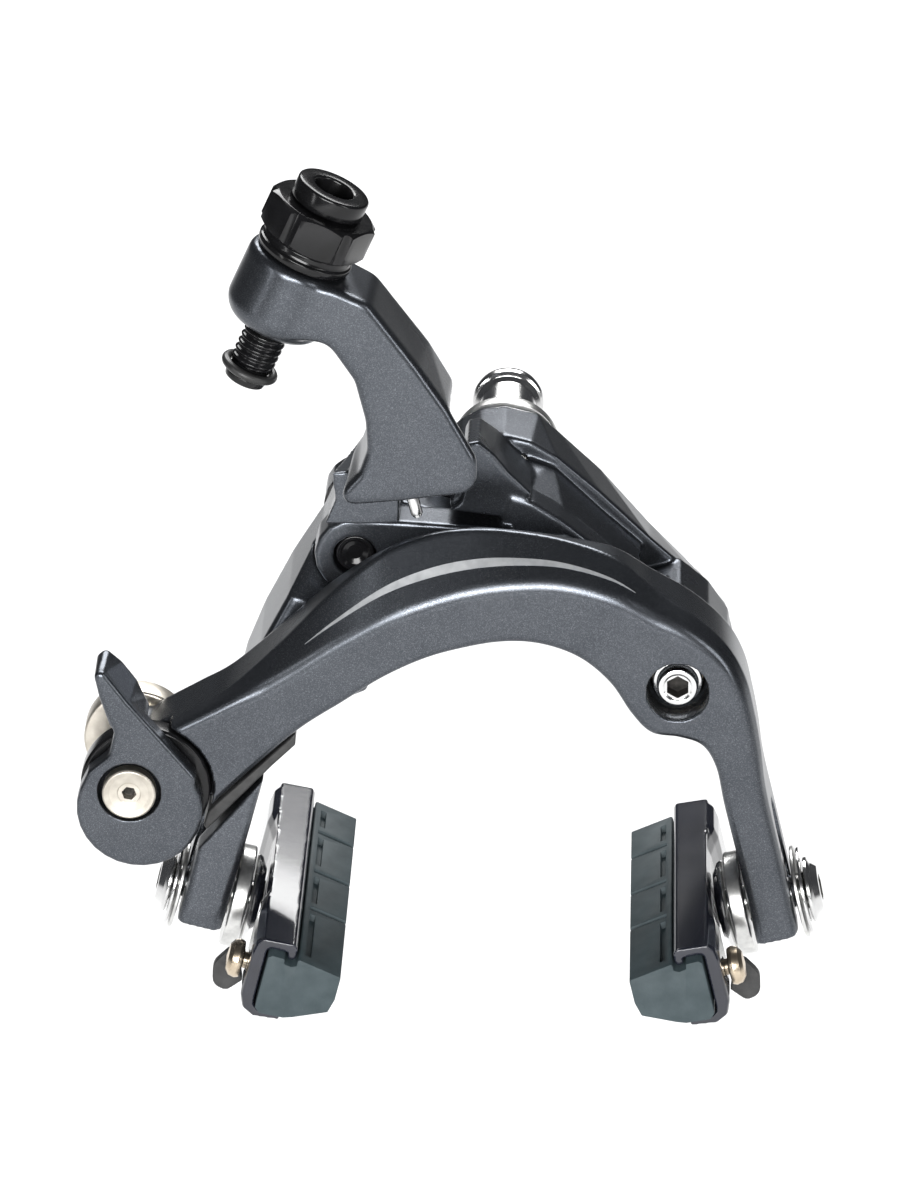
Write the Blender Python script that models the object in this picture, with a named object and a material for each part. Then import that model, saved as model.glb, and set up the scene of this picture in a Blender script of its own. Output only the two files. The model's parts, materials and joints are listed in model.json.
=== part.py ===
"""Symmetrical dual-pivot road rim brake caliper.

The mounting bolt's axis is the Y axis and the fork side is +Y; +Z is up.
Every dimension below is in millimetres and is scaled by MM when a mesh is made.
"""
import math

import bmesh
import bpy
from mathutils import Matrix, Vector

MM = 0.001
FLAT_ANGLE = math.radians(0.4)

# Pivots, as (x, z) on axes parallel to Y
RIGHT_PIVOT = (23.4, -17.6)
LEFT_PIVOT = (-19.4, -4.9)
LEVER_PIVOT = (-48.6, -31.4)
LEVER_DISC = (-47.3, -34.0)
CAM_CENTRE = (-46.7, -32.3)
CAM_RADIUS = 8.6
CAM_RECESS_RADIUS = 9.0

# Depth of the layers along Y, front to back
ARM_FRONT = -40.0
ARM_BACK = -28.0
LUG_FRONT = -26.0
LUG_BACK = -20.0
HUB_FRONT = -19.6
HUB_BACK = -10.1
WALL_FRONT = -12.7
WALL_THIN_FRONT = -9.3
WALL_BACK = -2.5
LEG_BACK = -24.6
SHOE_BOLT_Y = -32.0
LEVER_FRONT = -43.6
LEVER_BACK = -40.4

# Barrel adjuster, on the cable arm
BARREL_FOOT = (-30.1, -31.5, 30.4)
BARREL_TILT = math.radians(24.0)
BOSS_RADIUS = 6.9
THREAD_RADIUS = 2.9

# Brake shoes: point where the bolt crosses the middle of each leg, and the lean of the leg
SHOE_RIGHT = (36.6, -51.4)
SHOE_LEFT = (-39.4, -51.2)
LEAN_RIGHT = math.radians(13.0)
LEAN_LEFT = math.radians(14.0)
PAD_NEAR = -57.0
PAD_FAR = -13.2

# Link between the arms
LINK_PIN = (5.6, -8.2)
LINK_PIN_RADIUS = 1.7

PAINT = ("arm_paint", (0.105, 0.115, 0.125), 0.42, 0.75)
BLACK = ("black_anodised", (0.012, 0.012, 0.013), 0.22, 0.6)
GLOSS = ("gloss_black_paint", (0.02, 0.02, 0.025), 0.12, 0.2)
CHROME = ("chromed_steel", (0.78, 0.78, 0.78), 0.1, 1.0)
ZINC = ("zinc_plated_steel", (0.62, 0.62, 0.61), 0.3, 1.0)
NICKEL = ("nickel_plated_steel", (0.66, 0.61, 0.53), 0.24, 1.0)
BRASS = ("pale_brass", (0.62, 0.5, 0.36), 0.3, 1.0)
RUBBER = ("brake_rubber", (0.055, 0.085, 0.095), 0.75, 0.0)
NYLON = ("dark_nylon", (0.022, 0.022, 0.022), 0.6, 0.0)
SPRING = ("spring_steel", (0.35, 0.35, 0.36), 0.3, 1.0)


# ---------------------------------------------------------------- outlines

def arc(centre, radius, start, end, steps):
    """Points on a circle from the start angle to the end angle, in degrees."""
    points = []
    for i in range(steps + 1):
        a = math.radians(start + (end - start) * i / steps)
        points.append((centre[0] + radius * math.cos(a), centre[1] + radius * math.sin(a)))
    return points


def rounded(corners, steps=3):
    """A closed outline from (x, z, radius) corners; each corner becomes an arc."""
    outline = []
    count = len(corners)
    for i in range(count):
        before = Vector(corners[i - 1][:2])
        here = Vector(corners[i][:2])
        after = Vector(corners[(i + 1) % count][:2])
        radius = corners[i][2] if len(corners[i]) > 2 else 0.0
        u = (before - here).normalized()
        v = (after - here).normalized()
        angle = u.angle(v)
        if radius <= 0.0 or angle > math.radians(172.0):
            outline.append((here.x, here.y))
            continue
        reach = radius / math.tan(angle / 2.0)
        middle = here + (u + v).normalized() * (radius / math.sin(angle / 2.0))
        first = here + u * reach - middle
        last = here + v * reach - middle
        turn = first.angle_signed(last)
        for k in range(steps + 1):
            spoke = first.copy()
            spoke.rotate(Matrix.Rotation(-turn * k / steps, 2))
            outline.append((middle.x + spoke.x, middle.y + spoke.y))
    return outline


def area(outline):
    total = 0.0
    for i in range(len(outline)):
        a = outline[i - 1]
        b = outline[i]
        total += a[0] * b[1] - b[0] * a[1]
    return total / 2.0


def inset(outline, distance):
    """The outline moved inwards by a distance, each side staying parallel to itself."""
    sign = 1.0 if area(outline) > 0.0 else -1.0
    moved = []
    count = len(outline)
    for i in range(count):
        a = Vector(outline[i - 1])
        b = Vector(outline[i])
        c = Vector(outline[(i + 1) % count])
        u = (b - a).normalized()
        v = (c - b).normalized()
        n1 = Vector((-u.y, u.x)) * sign
        n2 = Vector((-v.y, v.x)) * sign
        m = n1 + n2
        m = m / max(m.length_squared, 0.4) * 2.0
        p = b + m * distance
        moved.append((p.x, p.y))
    return moved


# ---------------------------------------------------------------- solids

def mesh_object(name, bm):
    bmesh.ops.recalc_face_normals(bm, faces=bm.faces)
    mesh = bpy.data.meshes.new(name)
    bm.to_mesh(mesh)
    bm.free()
    obj = bpy.data.objects.new(name, mesh)
    bpy.context.scene.collection.objects.link(obj)
    return obj


def loft(name, rings, closed=False):
    """A solid skin through rings of equal point counts, given in millimetres."""
    bm = bmesh.new()
    rows = []
    for ring in rings:
        rows.append([bm.verts.new(Vector(p) * MM) for p in ring])
    pairs = list(zip(rows, rows[1:]))
    if closed:
        pairs.append((rows[-1], rows[0]))
    for low, high in pairs:
        for i in range(len(low)):
            bm.faces.new((low[i - 1], low[i], high[i], high[i - 1]))
    if not closed:
        bm.faces.new(rows[0])
        bm.faces.new(rows[-1])
    return mesh_object(name, bm)


def slab(name, outline, y_front, y_back, edge_front=0.0, edge_back=0.0, back_outline=None):
    """An outline in the XZ plane given thickness along Y, with chamfered front and back rims."""
    back_outline = back_outline or outline
    rings = []
    if edge_front > 0.0:
        rings.append([(x, y_front, z) for x, z in inset(outline, edge_front)])
        rings.append([(x, y_front + edge_front * 0.3, z) for x, z in inset(outline, edge_front * 0.3)])
        rings.append([(x, y_front + edge_front, z) for x, z in outline])
    else:
        rings.append([(x, y_front, z) for x, z in outline])
    if edge_back > 0.0:
        rings.append([(x, y_back - edge_back, z) for x, z in back_outline])
        rings.append([(x, y_back, z) for x, z in inset(back_outline, edge_back)])
    else:
        rings.append([(x, y_back, z) for x, z in back_outline])
    return loft(name, rings)


def turned(name, foot, axis, profile, steps=20, closed=False, turn=0.0):
    """A solid of revolution. The profile is (distance along the axis, radius) points."""
    axis = Vector(axis).normalized()
    side = axis.orthogonal().normalized()
    if abs(axis.y) > 0.9:
        side = Vector((1.0, 0.0, 0.0))
    elif abs(axis.y) < 0.1:
        side = Vector((0.0, 1.0, 0.0))
    other = axis.cross(side)
    rings = []
    for along, radius in profile:
        ring = []
        for i in range(steps):
            a = 2.0 * math.pi * i / steps + turn
            spoke = side * math.cos(a) + other * math.sin(a)
            ring.append(Vector(foot) + axis * along + spoke * radius)
        rings.append(ring)
    return loft(name, rings, closed)


def ring(name, foot, axis, start, end, inner, outer, edge=0.15, steps=20):
    """A washer or bush with chamfered outer rims."""
    profile = [
        (start, inner),
        (start, outer - edge),
        (start + edge, outer),
        (end - edge, outer),
        (end, outer - edge),
        (end, inner),
    ]
    return turned(name, foot, axis, profile, steps, closed=True)


def triangulate(obj):
    bm = bmesh.new()
    bm.from_mesh(obj.data)
    bmesh.ops.triangulate(bm, faces=bm.faces)
    bm.to_mesh(obj.data)
    bm.free()


def combine(target, tool, operation):
    """Boolean with another solid, which is used up."""
    triangulate(target)
    triangulate(tool)
    modifier = target.modifiers.new("shape", "BOOLEAN")
    modifier.operation = operation
    modifier.solver = "EXACT"
    modifier.object = tool
    graph = bpy.context.evaluated_depsgraph_get()
    graph.update()
    made = bpy.data.meshes.new_from_object(target.evaluated_get(graph))
    target.modifiers.clear()
    spent = target.data
    target.data = made
    bpy.data.meshes.remove(spent)
    bpy.data.objects.remove(tool)
    return target


def join(target, *tools):
    for tool in tools:
        combine(target, tool, "UNION")
    return target


def cut(target, *tools):
    for tool in tools:
        combine(target, tool, "DIFFERENCE")
    return target


def post(foot, axis, start, end, radius, steps=20, turn=0.0):
    """A plain cylinder used to add or remove material."""
    return turned("tool", foot, axis, [(start, radius), (end, radius)], steps, turn=turn)


def finish(obj, name, paint, pivot, smooth=True):
    """Names the piece, gives it its material and puts its origin on its joint's axis."""
    obj.name = name
    obj.data.name = name
    bm = bmesh.new()
    bm.from_mesh(obj.data)
    bmesh.ops.remove_doubles(bm, verts=bm.verts, dist=0.00001)
    bmesh.ops.dissolve_degenerate(bm, edges=bm.edges, dist=0.00001)
    bmesh.ops.dissolve_limit(bm, angle_limit=FLAT_ANGLE, verts=bm.verts, edges=bm.edges)
    bmesh.ops.recalc_face_normals(bm, faces=bm.faces)
    shift = Vector(pivot) * MM
    bmesh.ops.translate(bm, verts=bm.verts, vec=-shift)
    for face in bm.faces:
        face.smooth = smooth
    bm.to_mesh(obj.data)
    bm.free()
    obj.location = shift
    obj.data.materials.clear()
    obj.data.materials.append(material(name, paint))
    return obj


def material(name, paint):
    kind, colour, roughness, metallic = paint
    made = bpy.data.materials.new(kind + "_" + name)
    made.use_nodes = True
    shader = made.node_tree.nodes["Principled BSDF"]
    shader.inputs["Base Color"].default_value = (colour[0], colour[1], colour[2], 1.0)
    shader.inputs["Roughness"].default_value = roughness
    shader.inputs["Metallic"].default_value = metallic
    made.diffuse_color = (colour[0], colour[1], colour[2], 1.0)
    return made


def at(centre, y=0.0):
    return (centre[0], y, centre[1])


FORWARD = (0.0, 1.0, 0.0)
MIDDLE = (0.0, 0.0, 0.0)


# ---------------------------------------------------------------- bridge and fixed pieces

WALL_TOP_BACK = [
    (-9.6, 1.6), (-5.9, 5.3), (-3.2, 6.7), (0.0, 7.1), (4.4, 6.0), (7.3, 3.3), (12.7, -1.9), (19.5, -9.9),
    (26.4, -17.2), (29.9, -21.7), (30.8, -25.0),
]
WALL_TOP_FRONT = [
    (-9.6, 1.6), (-5.9, 5.3), (-3.2, 6.7), (0.0, 7.0), (3.6, 6.1), (7.0, 4.0), (12.8, -1.1), (19.6, -7.8),
    (26.3, -13.9), (30.4, -19.6), (31.4, -24.2),
]
WALL_UNDER = [
    (29.3, -27.2), (25.6, -27.6), (20.2, -25.6), (16.2, -21.2), (12.4, -15.6), (7.2, -11.6), (0.0, -9.8),
    (-7.0, -10.2), (-12.0, -12.2),
]
LEFT_WALL_RADIUS = 4.8
LUG_RADIUS = 5.4
BAR = [
    (1.0, 3.6), (4.1, 2.6), (7.6, 0.3), (13.0, -4.1), (18.6, -9.3, 1.0), (18.8, -13.4, 1.4), (13.4, -11.8),
    (10.2, -7.6), (9.9, -3.9), (8.4, -2.6), (4.0, -2.6), (2.6, -4.6), (2.2, -6.0), (-2.0, -6.0),
]
PLATE = [
    (-7.0, 1.1), (-5.4, 2.4), (-4.7, 5.4), (-5.2, 9.4), (-4.6, 10.8), (-3.2, 11.1), (-1.0, 9.2), (1.0, 6.6),
    (3.9, 3.7), (2.0, 0.5), (1.2, 0.0),
]
# The rear of the plate is lower than its front by this factor
PLATE_FALL = 0.84
TIE_FRONT = [
    (-7.0, 1.6), (4.0, 1.0), (8.4, -1.6), (16.8, -10.4), (17.9, -9.7), (12.4, -4.5), (8.6, -0.9), (1.0, 2.9),
    (-6.0, 3.6),
]
TIE_REAR = [
    (-7.0, 1.6), (5.0, 1.6), (10.4, -2.2), (17.6, -9.2), (18.6, -8.4), (13.0, -3.4), (6.6, 2.9), (0.4, 5.2),
    (-6.0, 5.4),
]
RIGHT_BLOCK = [
    (22.2, -11.4), (23.6, -11.0), (27.4, -14.2), (30.2, -18.4), (30.8, -22.8), (29.0, -26.0), (25.2, -26.0),
    (20.4, -24.4), (16.8, -20.4), (15.6, -15.6), (18.0, -12.6),
]


def bridge_walls():
    """The rear wall that carries the mounting bolt, thinner behind the cable arm's hub."""
    top = WALL_TOP_BACK[3:] + WALL_UNDER + [(-9.6, -9.6)] + WALL_TOP_BACK[:3]
    front_top = WALL_TOP_FRONT[3:] + WALL_UNDER + [(-9.6, -9.6)] + WALL_TOP_FRONT[:3]
    wall = slab("wall", front_top, WALL_FRONT, WALL_BACK, 0.5, 0.5, top)
    left = WALL_UNDER[-3:] + arc(LEFT_PIVOT, LEFT_WALL_RADIUS, 265.0, 95.0, 8) + [(-9.0, 1.2), (-4.0, 3.0)]
    return join(wall, slab("left", left, WALL_THIN_FRONT, WALL_BACK - 0.2, 0.5, 0.5))


def bridge_front():
    """The lug in front of the left pivot, the polygon plate and the sloping bar."""
    lug = arc(LEFT_PIVOT, LUG_RADIUS, 84.0, 268.0, 8)
    lug += [(-16.6, -8.8), (-14.2, -7.4), (-12.0, -7.0), (-4.0, -6.2)]
    lug += [(2.4, -6.1), (1.2, -0.9), (-4.5, -0.4), (-12.0, 0.1)]
    front = slab("lug", lug, LUG_FRONT, LUG_BACK, 0.45, 0.3)
    bar = slab("bar", rounded(BAR), -24.6, -19.7, 0.6, 0.4)
    return join(front, bar)


def bridge_block():
    """The block that ties the polygon plate to the rear wall above the slot."""
    rear = [(x, z * PLATE_FALL) for x, z in PLATE]
    plate = slab("plate", PLATE, -24.3, -12.0, 0.35, 0.0, rear)
    tie = slab("tie", TIE_FRONT, -23.0, -11.5, 0.0, 0.0, TIE_REAR)
    return join(plate, tie)


def bridge_right_block():
    """The full-depth block around the right pivot, with the pocket in front of the wall beside it."""
    return slab("right_block", RIGHT_BLOCK, -26.9, WALL_FRONT + 1.0, 0.6, 0.0)


def make_bridge():
    body = bridge_walls()
    join(body, bridge_block(), bridge_front(), bridge_right_block())
    cut(
        body,
        post(MIDDLE, FORWARD, -14.0, 1.0, 3.2),
        post(MIDDLE, FORWARD, -13.5, -9.0, 5.0),
        post(at(RIGHT_PIVOT), FORWARD, -30.0, 0.0, 2.6),
        post(at(LEFT_PIVOT), FORWARD, -28.0, 0.0, 2.9),
    )
    return finish(body, "bridge", PAINT, MIDDLE)


def make_mount_bolt():
    profile = [
        (-12.3, 0.05), (-12.3, 4.3), (-11.9, 4.7), (-9.3, 4.7), (-9.3, 2.9), (9.6, 2.9), (10.2, 2.3), (10.2, 0.05),
    ]
    return finish(turned("mount_bolt", MIDDLE, FORWARD, profile), "mount_bolt", ZINC, MIDDLE)


def make_serrated_washer():
    profile = [(-2.2, 3.2), (-2.2, 7.2), (-1.9, 7.35), (-0.4, 7.35), (0.0, 7.0), (0.0, 4.4), (-0.8, 3.2)]
    return finish(turned("washer", MIDDLE, FORWARD, profile, 36, True), "serrated_washer", ZINC, MIDDLE)


def make_mount_nut():
    """A long sleeve nut with a double-rimmed flange and a hexagon socket."""
    profile = [(1.0, 3.2), (1.0, 3.7), (1.3, 4.0), (12.4, 4.0), (12.9, 4.55), (13.4, 4.55), (13.7, 4.3),
               (14.0, 4.75), (15.0, 4.9), (15.5, 4.6), (15.5, 2.5), (10.6, 2.5), (10.6, 3.2)]
    return finish(turned("nut", MIDDLE, FORWARD, profile, 32, True), "mount_nut", CHROME, MIDDLE)


def make_right_pivot_bolt():
    """A socket-head pivot bolt standing in the stepped recess of the front arm."""
    profile = [(-38.4, 0.05), (-38.4, 2.3), (-38.1, 2.6), (-36.6, 2.6), (-36.6, 3.3), (-35.8, 3.3), (-35.8, 2.3),
               (-4.2, 2.3), (-4.2, 0.05)]
    bolt = turned("bolt", at(RIGHT_PIVOT), FORWARD, profile)
    cut(bolt, post(at(RIGHT_PIVOT), FORWARD, -39.0, -36.4, 1.75, 6, math.radians(30.0)))
    return finish(bolt, "right_pivot_bolt", CHROME, at(RIGHT_PIVOT, ARM_FRONT))


def make_left_pivot_bolt():
    profile = [(-22.6, 0.05), (-22.6, 2.4), (-22.4, 2.6), (-3.6, 2.6), (-3.6, 0.05)]
    return finish(turned("bolt", at(LEFT_PIVOT), FORWARD, profile), "left_pivot_bolt", ZINC, at(LEFT_PIVOT))


def make_left_pivot_cap():
    profile = [(-24.6, 0.05), (-24.6, 1.7), (-25.1, 2.2), (-25.0, 2.6), (-23.0, 2.6), (-23.0, 0.05)]
    return finish(turned("cap", at(LEFT_PIVOT), FORWARD, profile, 28), "left_pivot_cap", BLACK, at(LEFT_PIVOT))


def make_washers():
    right = ring("w", at(RIGHT_PIVOT), FORWARD, -27.7, -27.2, 2.7, 5.4, 0.1)
    finish(right, "right_pivot_washer", NYLON, at(RIGHT_PIVOT))
    left = ring("w", at(LEFT_PIVOT), FORWARD, -9.85, -9.55, 3.0, 4.8, 0.1)
    finish(left, "left_pivot_washer", NYLON, at(LEFT_PIVOT))


# ---------------------------------------------------------------- front arm

# Stations from the quick-release end to the foot: under edge, front crease, top edge (x, z),
# then the depth of the top edge and of the back.
FRONT_ARM = [
    ((-44.6, -39.6), (-46.8, -26.0), (-46.8, -26.0), -37.6, -28.0),
    ((-43.0, -39.8), (-44.6, -24.6), (-44.6, -24.4), -37.6, -28.0),
    ((-38.0, -35.1), (-39.6, -21.9), (-39.8, -21.6), -37.4, -28.0),
    ((-32.6, -29.7), (-35.3, -19.4), (-35.4, -18.9), -37.0, -28.0),
    ((-26.4, -23.9), (-28.0, -15.6), (-28.8, -12.9), -36.0, -28.2),
    ((-20.6, -19.8), (-21.0, -11.3), (-22.4, -6.2), -35.2, -30.0),
    ((-15.4, -16.2), (-14.6, -7.7), (-15.8, -0.6), -34.8, -32.4),
    ((-10.2, -13.5), (-8.8, -5.3), (-9.6, 2.2), -34.6, -33.0),
    ((-5.4, -11.9), (-3.4, -3.6), (-3.6, 3.2), -34.6, -33.0),
    ((0.1, -10.8), (2.0, -2.6), (2.2, 2.9), -34.6, -33.0),
    ((5.3, -11.0), (7.9, -2.4), (8.6, 1.8), -34.8, -32.4),
    ((10.4, -12.9), (14.4, -4.0), (15.0, -0.4), -35.4, -30.6),
    ((14.5, -16.5), (19.6, -6.3), (20.1, -4.4), -36.2, -28.6),
    ((17.4, -21.0), (25.0, -9.2), (25.4, -7.9), -37.0, -28.0),
    ((20.0, -23.7), (29.4, -12.9), (29.8, -12.0), -37.2, -28.0),
    ((23.6, -24.3), (31.5, -17.0), (32.3, -16.4), -37.4, -28.0),
    ((26.7, -25.5), (32.8, -21.8), (33.6, -21.5), -37.6, -27.8),
    ((28.6, -28.8), (33.8, -26.9), (34.5, -26.6), -37.8, -26.6),
    ((29.7, -34.0), (34.7, -32.8), (35.3, -32.6), -38.0, -25.2),
    ((31.7, -42.4), (36.6, -41.4), (37.2, -41.2), -38.2, -24.6),
    ((33.8, -52.0), (38.8, -50.9), (39.4, -50.7), -38.2, -24.6),
    ((34.4, -54.8), (39.4, -53.6), (40.0, -53.4), -38.2, -24.6),
]


def arm_sections(stations, front):
    """Closed sections across an arm, softened at the crease and at the lower edges."""
    rings = []
    for under, crease, top, y_top, y_back in stations:
        u = Vector(under)
        c = Vector(crease)
        t = Vector(top)
        across = (c - u).normalized()
        rings.append([
            (u.x + across.x * 0.9, front, u.y + across.y * 0.9),
            (c.x - across.x * 0.5, front, c.y - across.y * 0.5),
            (c.x + (t.x - c.x) * 0.12, front + (y_top - front) * 0.12, c.y + (t.y - c.y) * 0.12),
            (t.x - (t.x - c.x) * 0.08, y_top - (y_top - front) * 0.08, t.y - (t.y - c.y) * 0.08),
            (t.x, y_top + 0.5, t.y),
            (t.x - across.x * 0.3, y_back - 0.3, t.y - across.y * 0.3),
            (t.x - across.x * 0.8, y_back, t.y - across.y * 0.8),
            (u.x + across.x * 0.6, y_back, u.y + across.y * 0.6),
            (u.x, y_back - 0.6, u.y),
            (u.x, front + 0.9, u.y),
            (u.x + across.x * 0.25, front + 0.25, u.y + across.y * 0.25),
        ])
    return rings


def shoe_frame(side):
    """Foot point, outward axis and up-the-leg direction of a shoe; side is +1 right, -1 left."""
    centre = SHOE_RIGHT if side > 0 else SHOE_LEFT
    lean = LEAN_RIGHT if side > 0 else LEAN_LEFT
    outward = Vector((side * math.cos(lean), 0.0, math.sin(lean)))
    upward = Vector((-side * math.sin(lean), 0.0, math.cos(lean)))
    return Vector((centre[0], SHOE_BOLT_Y, centre[1])), outward, upward


SLOT_HALF = 3.1
SLOT_UP = 11.0
SLOT_DOWN = 0.2


def shoe_slot(side):
    """The long slot in which the shoe bolt is set higher or lower."""
    foot, outward, upward = shoe_frame(side)
    rings = []
    for along in (-7.0, 7.0):
        row = []
        for i in range(9):
            a = math.pi * i / 8
            p = foot + outward * along + upward * (SLOT_UP + SLOT_HALF * math.sin(a))
            row.append(p + Vector((0.0, SLOT_HALF * math.cos(a), 0.0)))
        for i in range(9):
            a = math.pi * i / 8
            p = foot + outward * along - upward * (SLOT_DOWN + SLOT_HALF * math.sin(a))
            row.append(p - Vector((0.0, SLOT_HALF * math.cos(a), 0.0)))
        rings.append(row)
    return loft("slot", rings)


def make_front_arm():
    arm = loft("front_arm", arm_sections(FRONT_ARM, ARM_FRONT))
    boss = turned("boss", at(CAM_CENTRE), FORWARD, [(-36.0, 6.4), (-28.6, 6.4), (-28.0, 5.8)], 36)
    join(arm, boss)
    cut(
        arm,
        post(at(CAM_CENTRE), FORWARD, -41.0, -36.0, CAM_RECESS_RADIUS, 40),
        post(at(LEVER_PIVOT), FORWARD, -42.0, -20.0, 2.3),
        post(at(RIGHT_PIVOT), FORWARD, -41.0, -35.5, 4.1, 32),
        post(at(RIGHT_PIVOT), FORWARD, -41.0, -20.0, 3.6),
        shoe_slot(1),
        post(at(LINK_PIN), FORWARD, -37.0, -20.0, 1.4),
    )
    return finish(arm, "front_arm", PAINT, at(RIGHT_PIVOT))


def make_right_pivot_bush():
    bush = ring("bush", at(RIGHT_PIVOT), FORWARD, -35.4, -28.0, 2.6, 3.4)
    return finish(bush, "right_pivot_bush", BRASS, at(RIGHT_PIVOT))


def make_link_pin():
    """The hardened pin behind the front arm that lifts the tail of the cable arm."""
    profile = [(-36.6, 0.05), (-36.6, 1.2), (-30.2, 1.2), (-30.2, 2.4), (-29.4, 2.4), (-29.4, LINK_PIN_RADIUS),
               (-13.4, LINK_PIN_RADIUS), (-13.0, LINK_PIN_RADIUS - 0.4), (-13.0, 0.05)]
    return finish(turned("pin", at(LINK_PIN), FORWARD, profile, 20), "link_pin", CHROME, at(RIGHT_PIVOT))


# ---------------------------------------------------------------- quick release

LEVER_RIGHT_SIDE = [
    (-53.0, -14.4, 0.7), (-51.8, -13.7, 0.8), (-48.6, -18.2), (-42.2, -26.2), (-39.6, -29.4, 1.2),
]
LEVER_LEFT_SIDE = [(-54.0, -28.6), (-51.2, -26.2, 1.8), (-50.4, -22.8, 2.0), (-52.3, -17.6)]
# The thumb tab thickens backwards and outwards from the lever's front face
THUMB_TAB = [
    (-53.0, -14.4, 0.7), (-51.9, -13.8, 0.7), (-50.3, -16.0), (-48.3, -18.7), (-46.5, -21.0), (-45.5, -22.3, 0.7),
    (-50.9, -22.3, 0.7), (-52.3, -17.8),
]
THUMB_TAB_REAR = [
    (-53.0, -14.4, 0.7), (-51.7, -13.3, 0.7), (-49.6, -15.2), (-47.7, -17.8), (-46.5, -20.6), (-45.7, -22.3, 0.7),
    (-50.9, -22.3, 0.7), (-52.3, -17.8),
]
THUMB_TAB_BACK = -36.9
LEVER_RADIUS = 8.35


def lever_outline():
    disc = [(x, z, 0.0) for x, z in arc(LEVER_DISC, LEVER_RADIUS, 28.0, -200.0, 18)]
    return rounded(LEVER_RIGHT_SIDE + disc + LEVER_LEFT_SIDE, 4)


def make_lever():
    """The cam lever: an eccentric disc with a thumb tab, dished around its bolt."""
    lever = slab("lever", lever_outline(), LEVER_FRONT, LEVER_BACK, 0.5, 0.3)
    tab = slab("tab", rounded(THUMB_TAB), LEVER_FRONT + 0.5, THUMB_TAB_BACK, 0.0, 0.4, rounded(THUMB_TAB_REAR))
    join(lever, tab)
    cut(
        lever,
        post(at(LEVER_PIVOT), FORWARD, -45.0, -41.6, 3.7, 32),
        post(at(LEVER_PIVOT), FORWARD, -45.0, -38.0, 2.4),
    )
    return finish(lever, "quick_release_lever", PAINT, at(LEVER_PIVOT))


def make_cam():
    profile = [
        (-40.1, CAM_RADIUS - 0.35),
        (-39.7, CAM_RADIUS),
        (-37.2, CAM_RADIUS),
        (-36.3, CAM_RADIUS - 0.5),
    ]
    cam = turned("cam", at(CAM_CENTRE), FORWARD, profile, 40)
    cut(cam, post(at(LEVER_PIVOT), FORWARD, -45.0, -30.0, 2.4))
    return finish(cam, "quick_release_cam", BLACK, at(LEVER_PIVOT))


def make_lever_bolt():
    profile = [(-43.5, 0.05), (-43.5, 0.95), (-43.9, 1.5), (-44.3, 3.0), (-44.1, 3.3), (-41.9, 3.3), (-41.9, 2.1),
               (-20.0, 2.1), (-20.0, 0.05)]
    bolt = turned("bolt", at(LEVER_PIVOT), FORWARD, profile, 32)
    cut(bolt, post(at(LEVER_PIVOT), FORWARD, -44.6, -42.6, 1.0, 6))
    return finish(bolt, "quick_release_bolt", NICKEL, at(RIGHT_PIVOT))


def make_clamp_plate():
    """The plate behind the arm that grips the cable."""
    plate = ring("plate", at(LEVER_PIVOT), FORWARD, -27.7, -23.9, 2.3, 7.1, 0.3, 36)
    cut(plate, post((LEVER_PIVOT[0] + 2.0, 0.0, LEVER_PIVOT[1] + 5.6), FORWARD, -28.0, -27.0, 0.6, 12))
    return finish(plate, "cable_clamp_plate", NICKEL, at(RIGHT_PIVOT))


def make_clamp_nut():
    nut = turned("nut", at(LEVER_PIVOT), FORWARD, [(-23.6, 4.1), (-23.3, 4.4), (-20.8, 4.4), (-20.4, 4.0)], 6)
    cut(nut, post(at(LEVER_PIVOT), FORWARD, -25.0, -19.0, 2.3))
    return finish(nut, "cable_clamp_nut", ZINC, at(RIGHT_PIVOT))


# ---------------------------------------------------------------- cable arm

CABLE_ARM = [
    (-26.4, 39.4), (-29.2, 32.4), (-27.2, 30.9, 2.0), (-22.4, 30.5, 3.0), (-18.9, 25.2), (-17.5, 19.6),
    (-17.3, 15.4), (-18.4, 12.2), (-22.6, 7.4, 1.4), (-13.0, 8.3), (-2.9, 9.7, 2.4), (-2.9, 14.4, 1.6),
    (-6.6, 21.3), (-10.6, 27.4), (-17.0, 36.2, 3.0), (-21.4, 38.2, 2.0),
]
CABLE_ARM_BACK = [
    (-26.4, 39.4), (-29.2, 32.4), (-27.2, 30.9, 2.0), (-22.4, 30.5, 3.0), (-18.9, 25.2), (-17.5, 19.6),
    (-17.3, 15.4), (-18.4, 12.2), (-20.8, 8.4, 1.4), (-13.0, 8.6), (-9.4, 9.4, 2.4), (-7.0, 15.4, 1.6),
    (-6.4, 20.6), (-9.6, 26.2), (-16.4, 35.4, 3.0), (-21.4, 38.2, 2.0),
]
# The neck between the upper arm and the hub: front and rear outlines
NECK = [(-22.3, 9.0), (-21.8, 5.0), (-23.2, 1.6), (-19.4, 1.6), (-13.4, 1.6), (-13.4, 9.4)]
NECK_BACK = [(-18.8, 6.0), (-20.4, 3.6), (-21.6, 1.2), (-19.4, 1.2), (-13.4, 1.2), (-13.4, 6.4)]
# Stations down the leg: outer edge, inner edge (x, z), then the depth of the front and of the back
LEG = [
    ((-20.2, 3.2), (-14.0, 3.2), HUB_FRONT, HUB_BACK),
    ((-22.0, 0.8), (-13.6, 0.8), HUB_FRONT, HUB_BACK),
    ((-24.0, -3.9), (-13.4, -8.6), HUB_FRONT, HUB_BACK),
    ((-28.2, -10.6), (-14.2, -16.0), -26.4, -10.4),
    ((-32.0, -17.6), (-18.0, -24.2), -27.4, -11.6),
    ((-34.4, -23.0), (-22.6, -26.2), -27.4, -13.4),
    ((-36.2, -29.6), (-26.6, -27.8), -27.6, -16.2),
    ((-39.3, -40.6), (-30.4, -30.6), -27.6, -21.0),
    ((-40.1, -42.2), (-31.1, -31.6), -38.8, -22.6),
    ((-42.3, -50.5), (-36.5, -52.0), -39.6, LEG_BACK),
    ((-42.9, -52.6), (-37.1, -54.1), -39.6, LEG_BACK),
]


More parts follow.
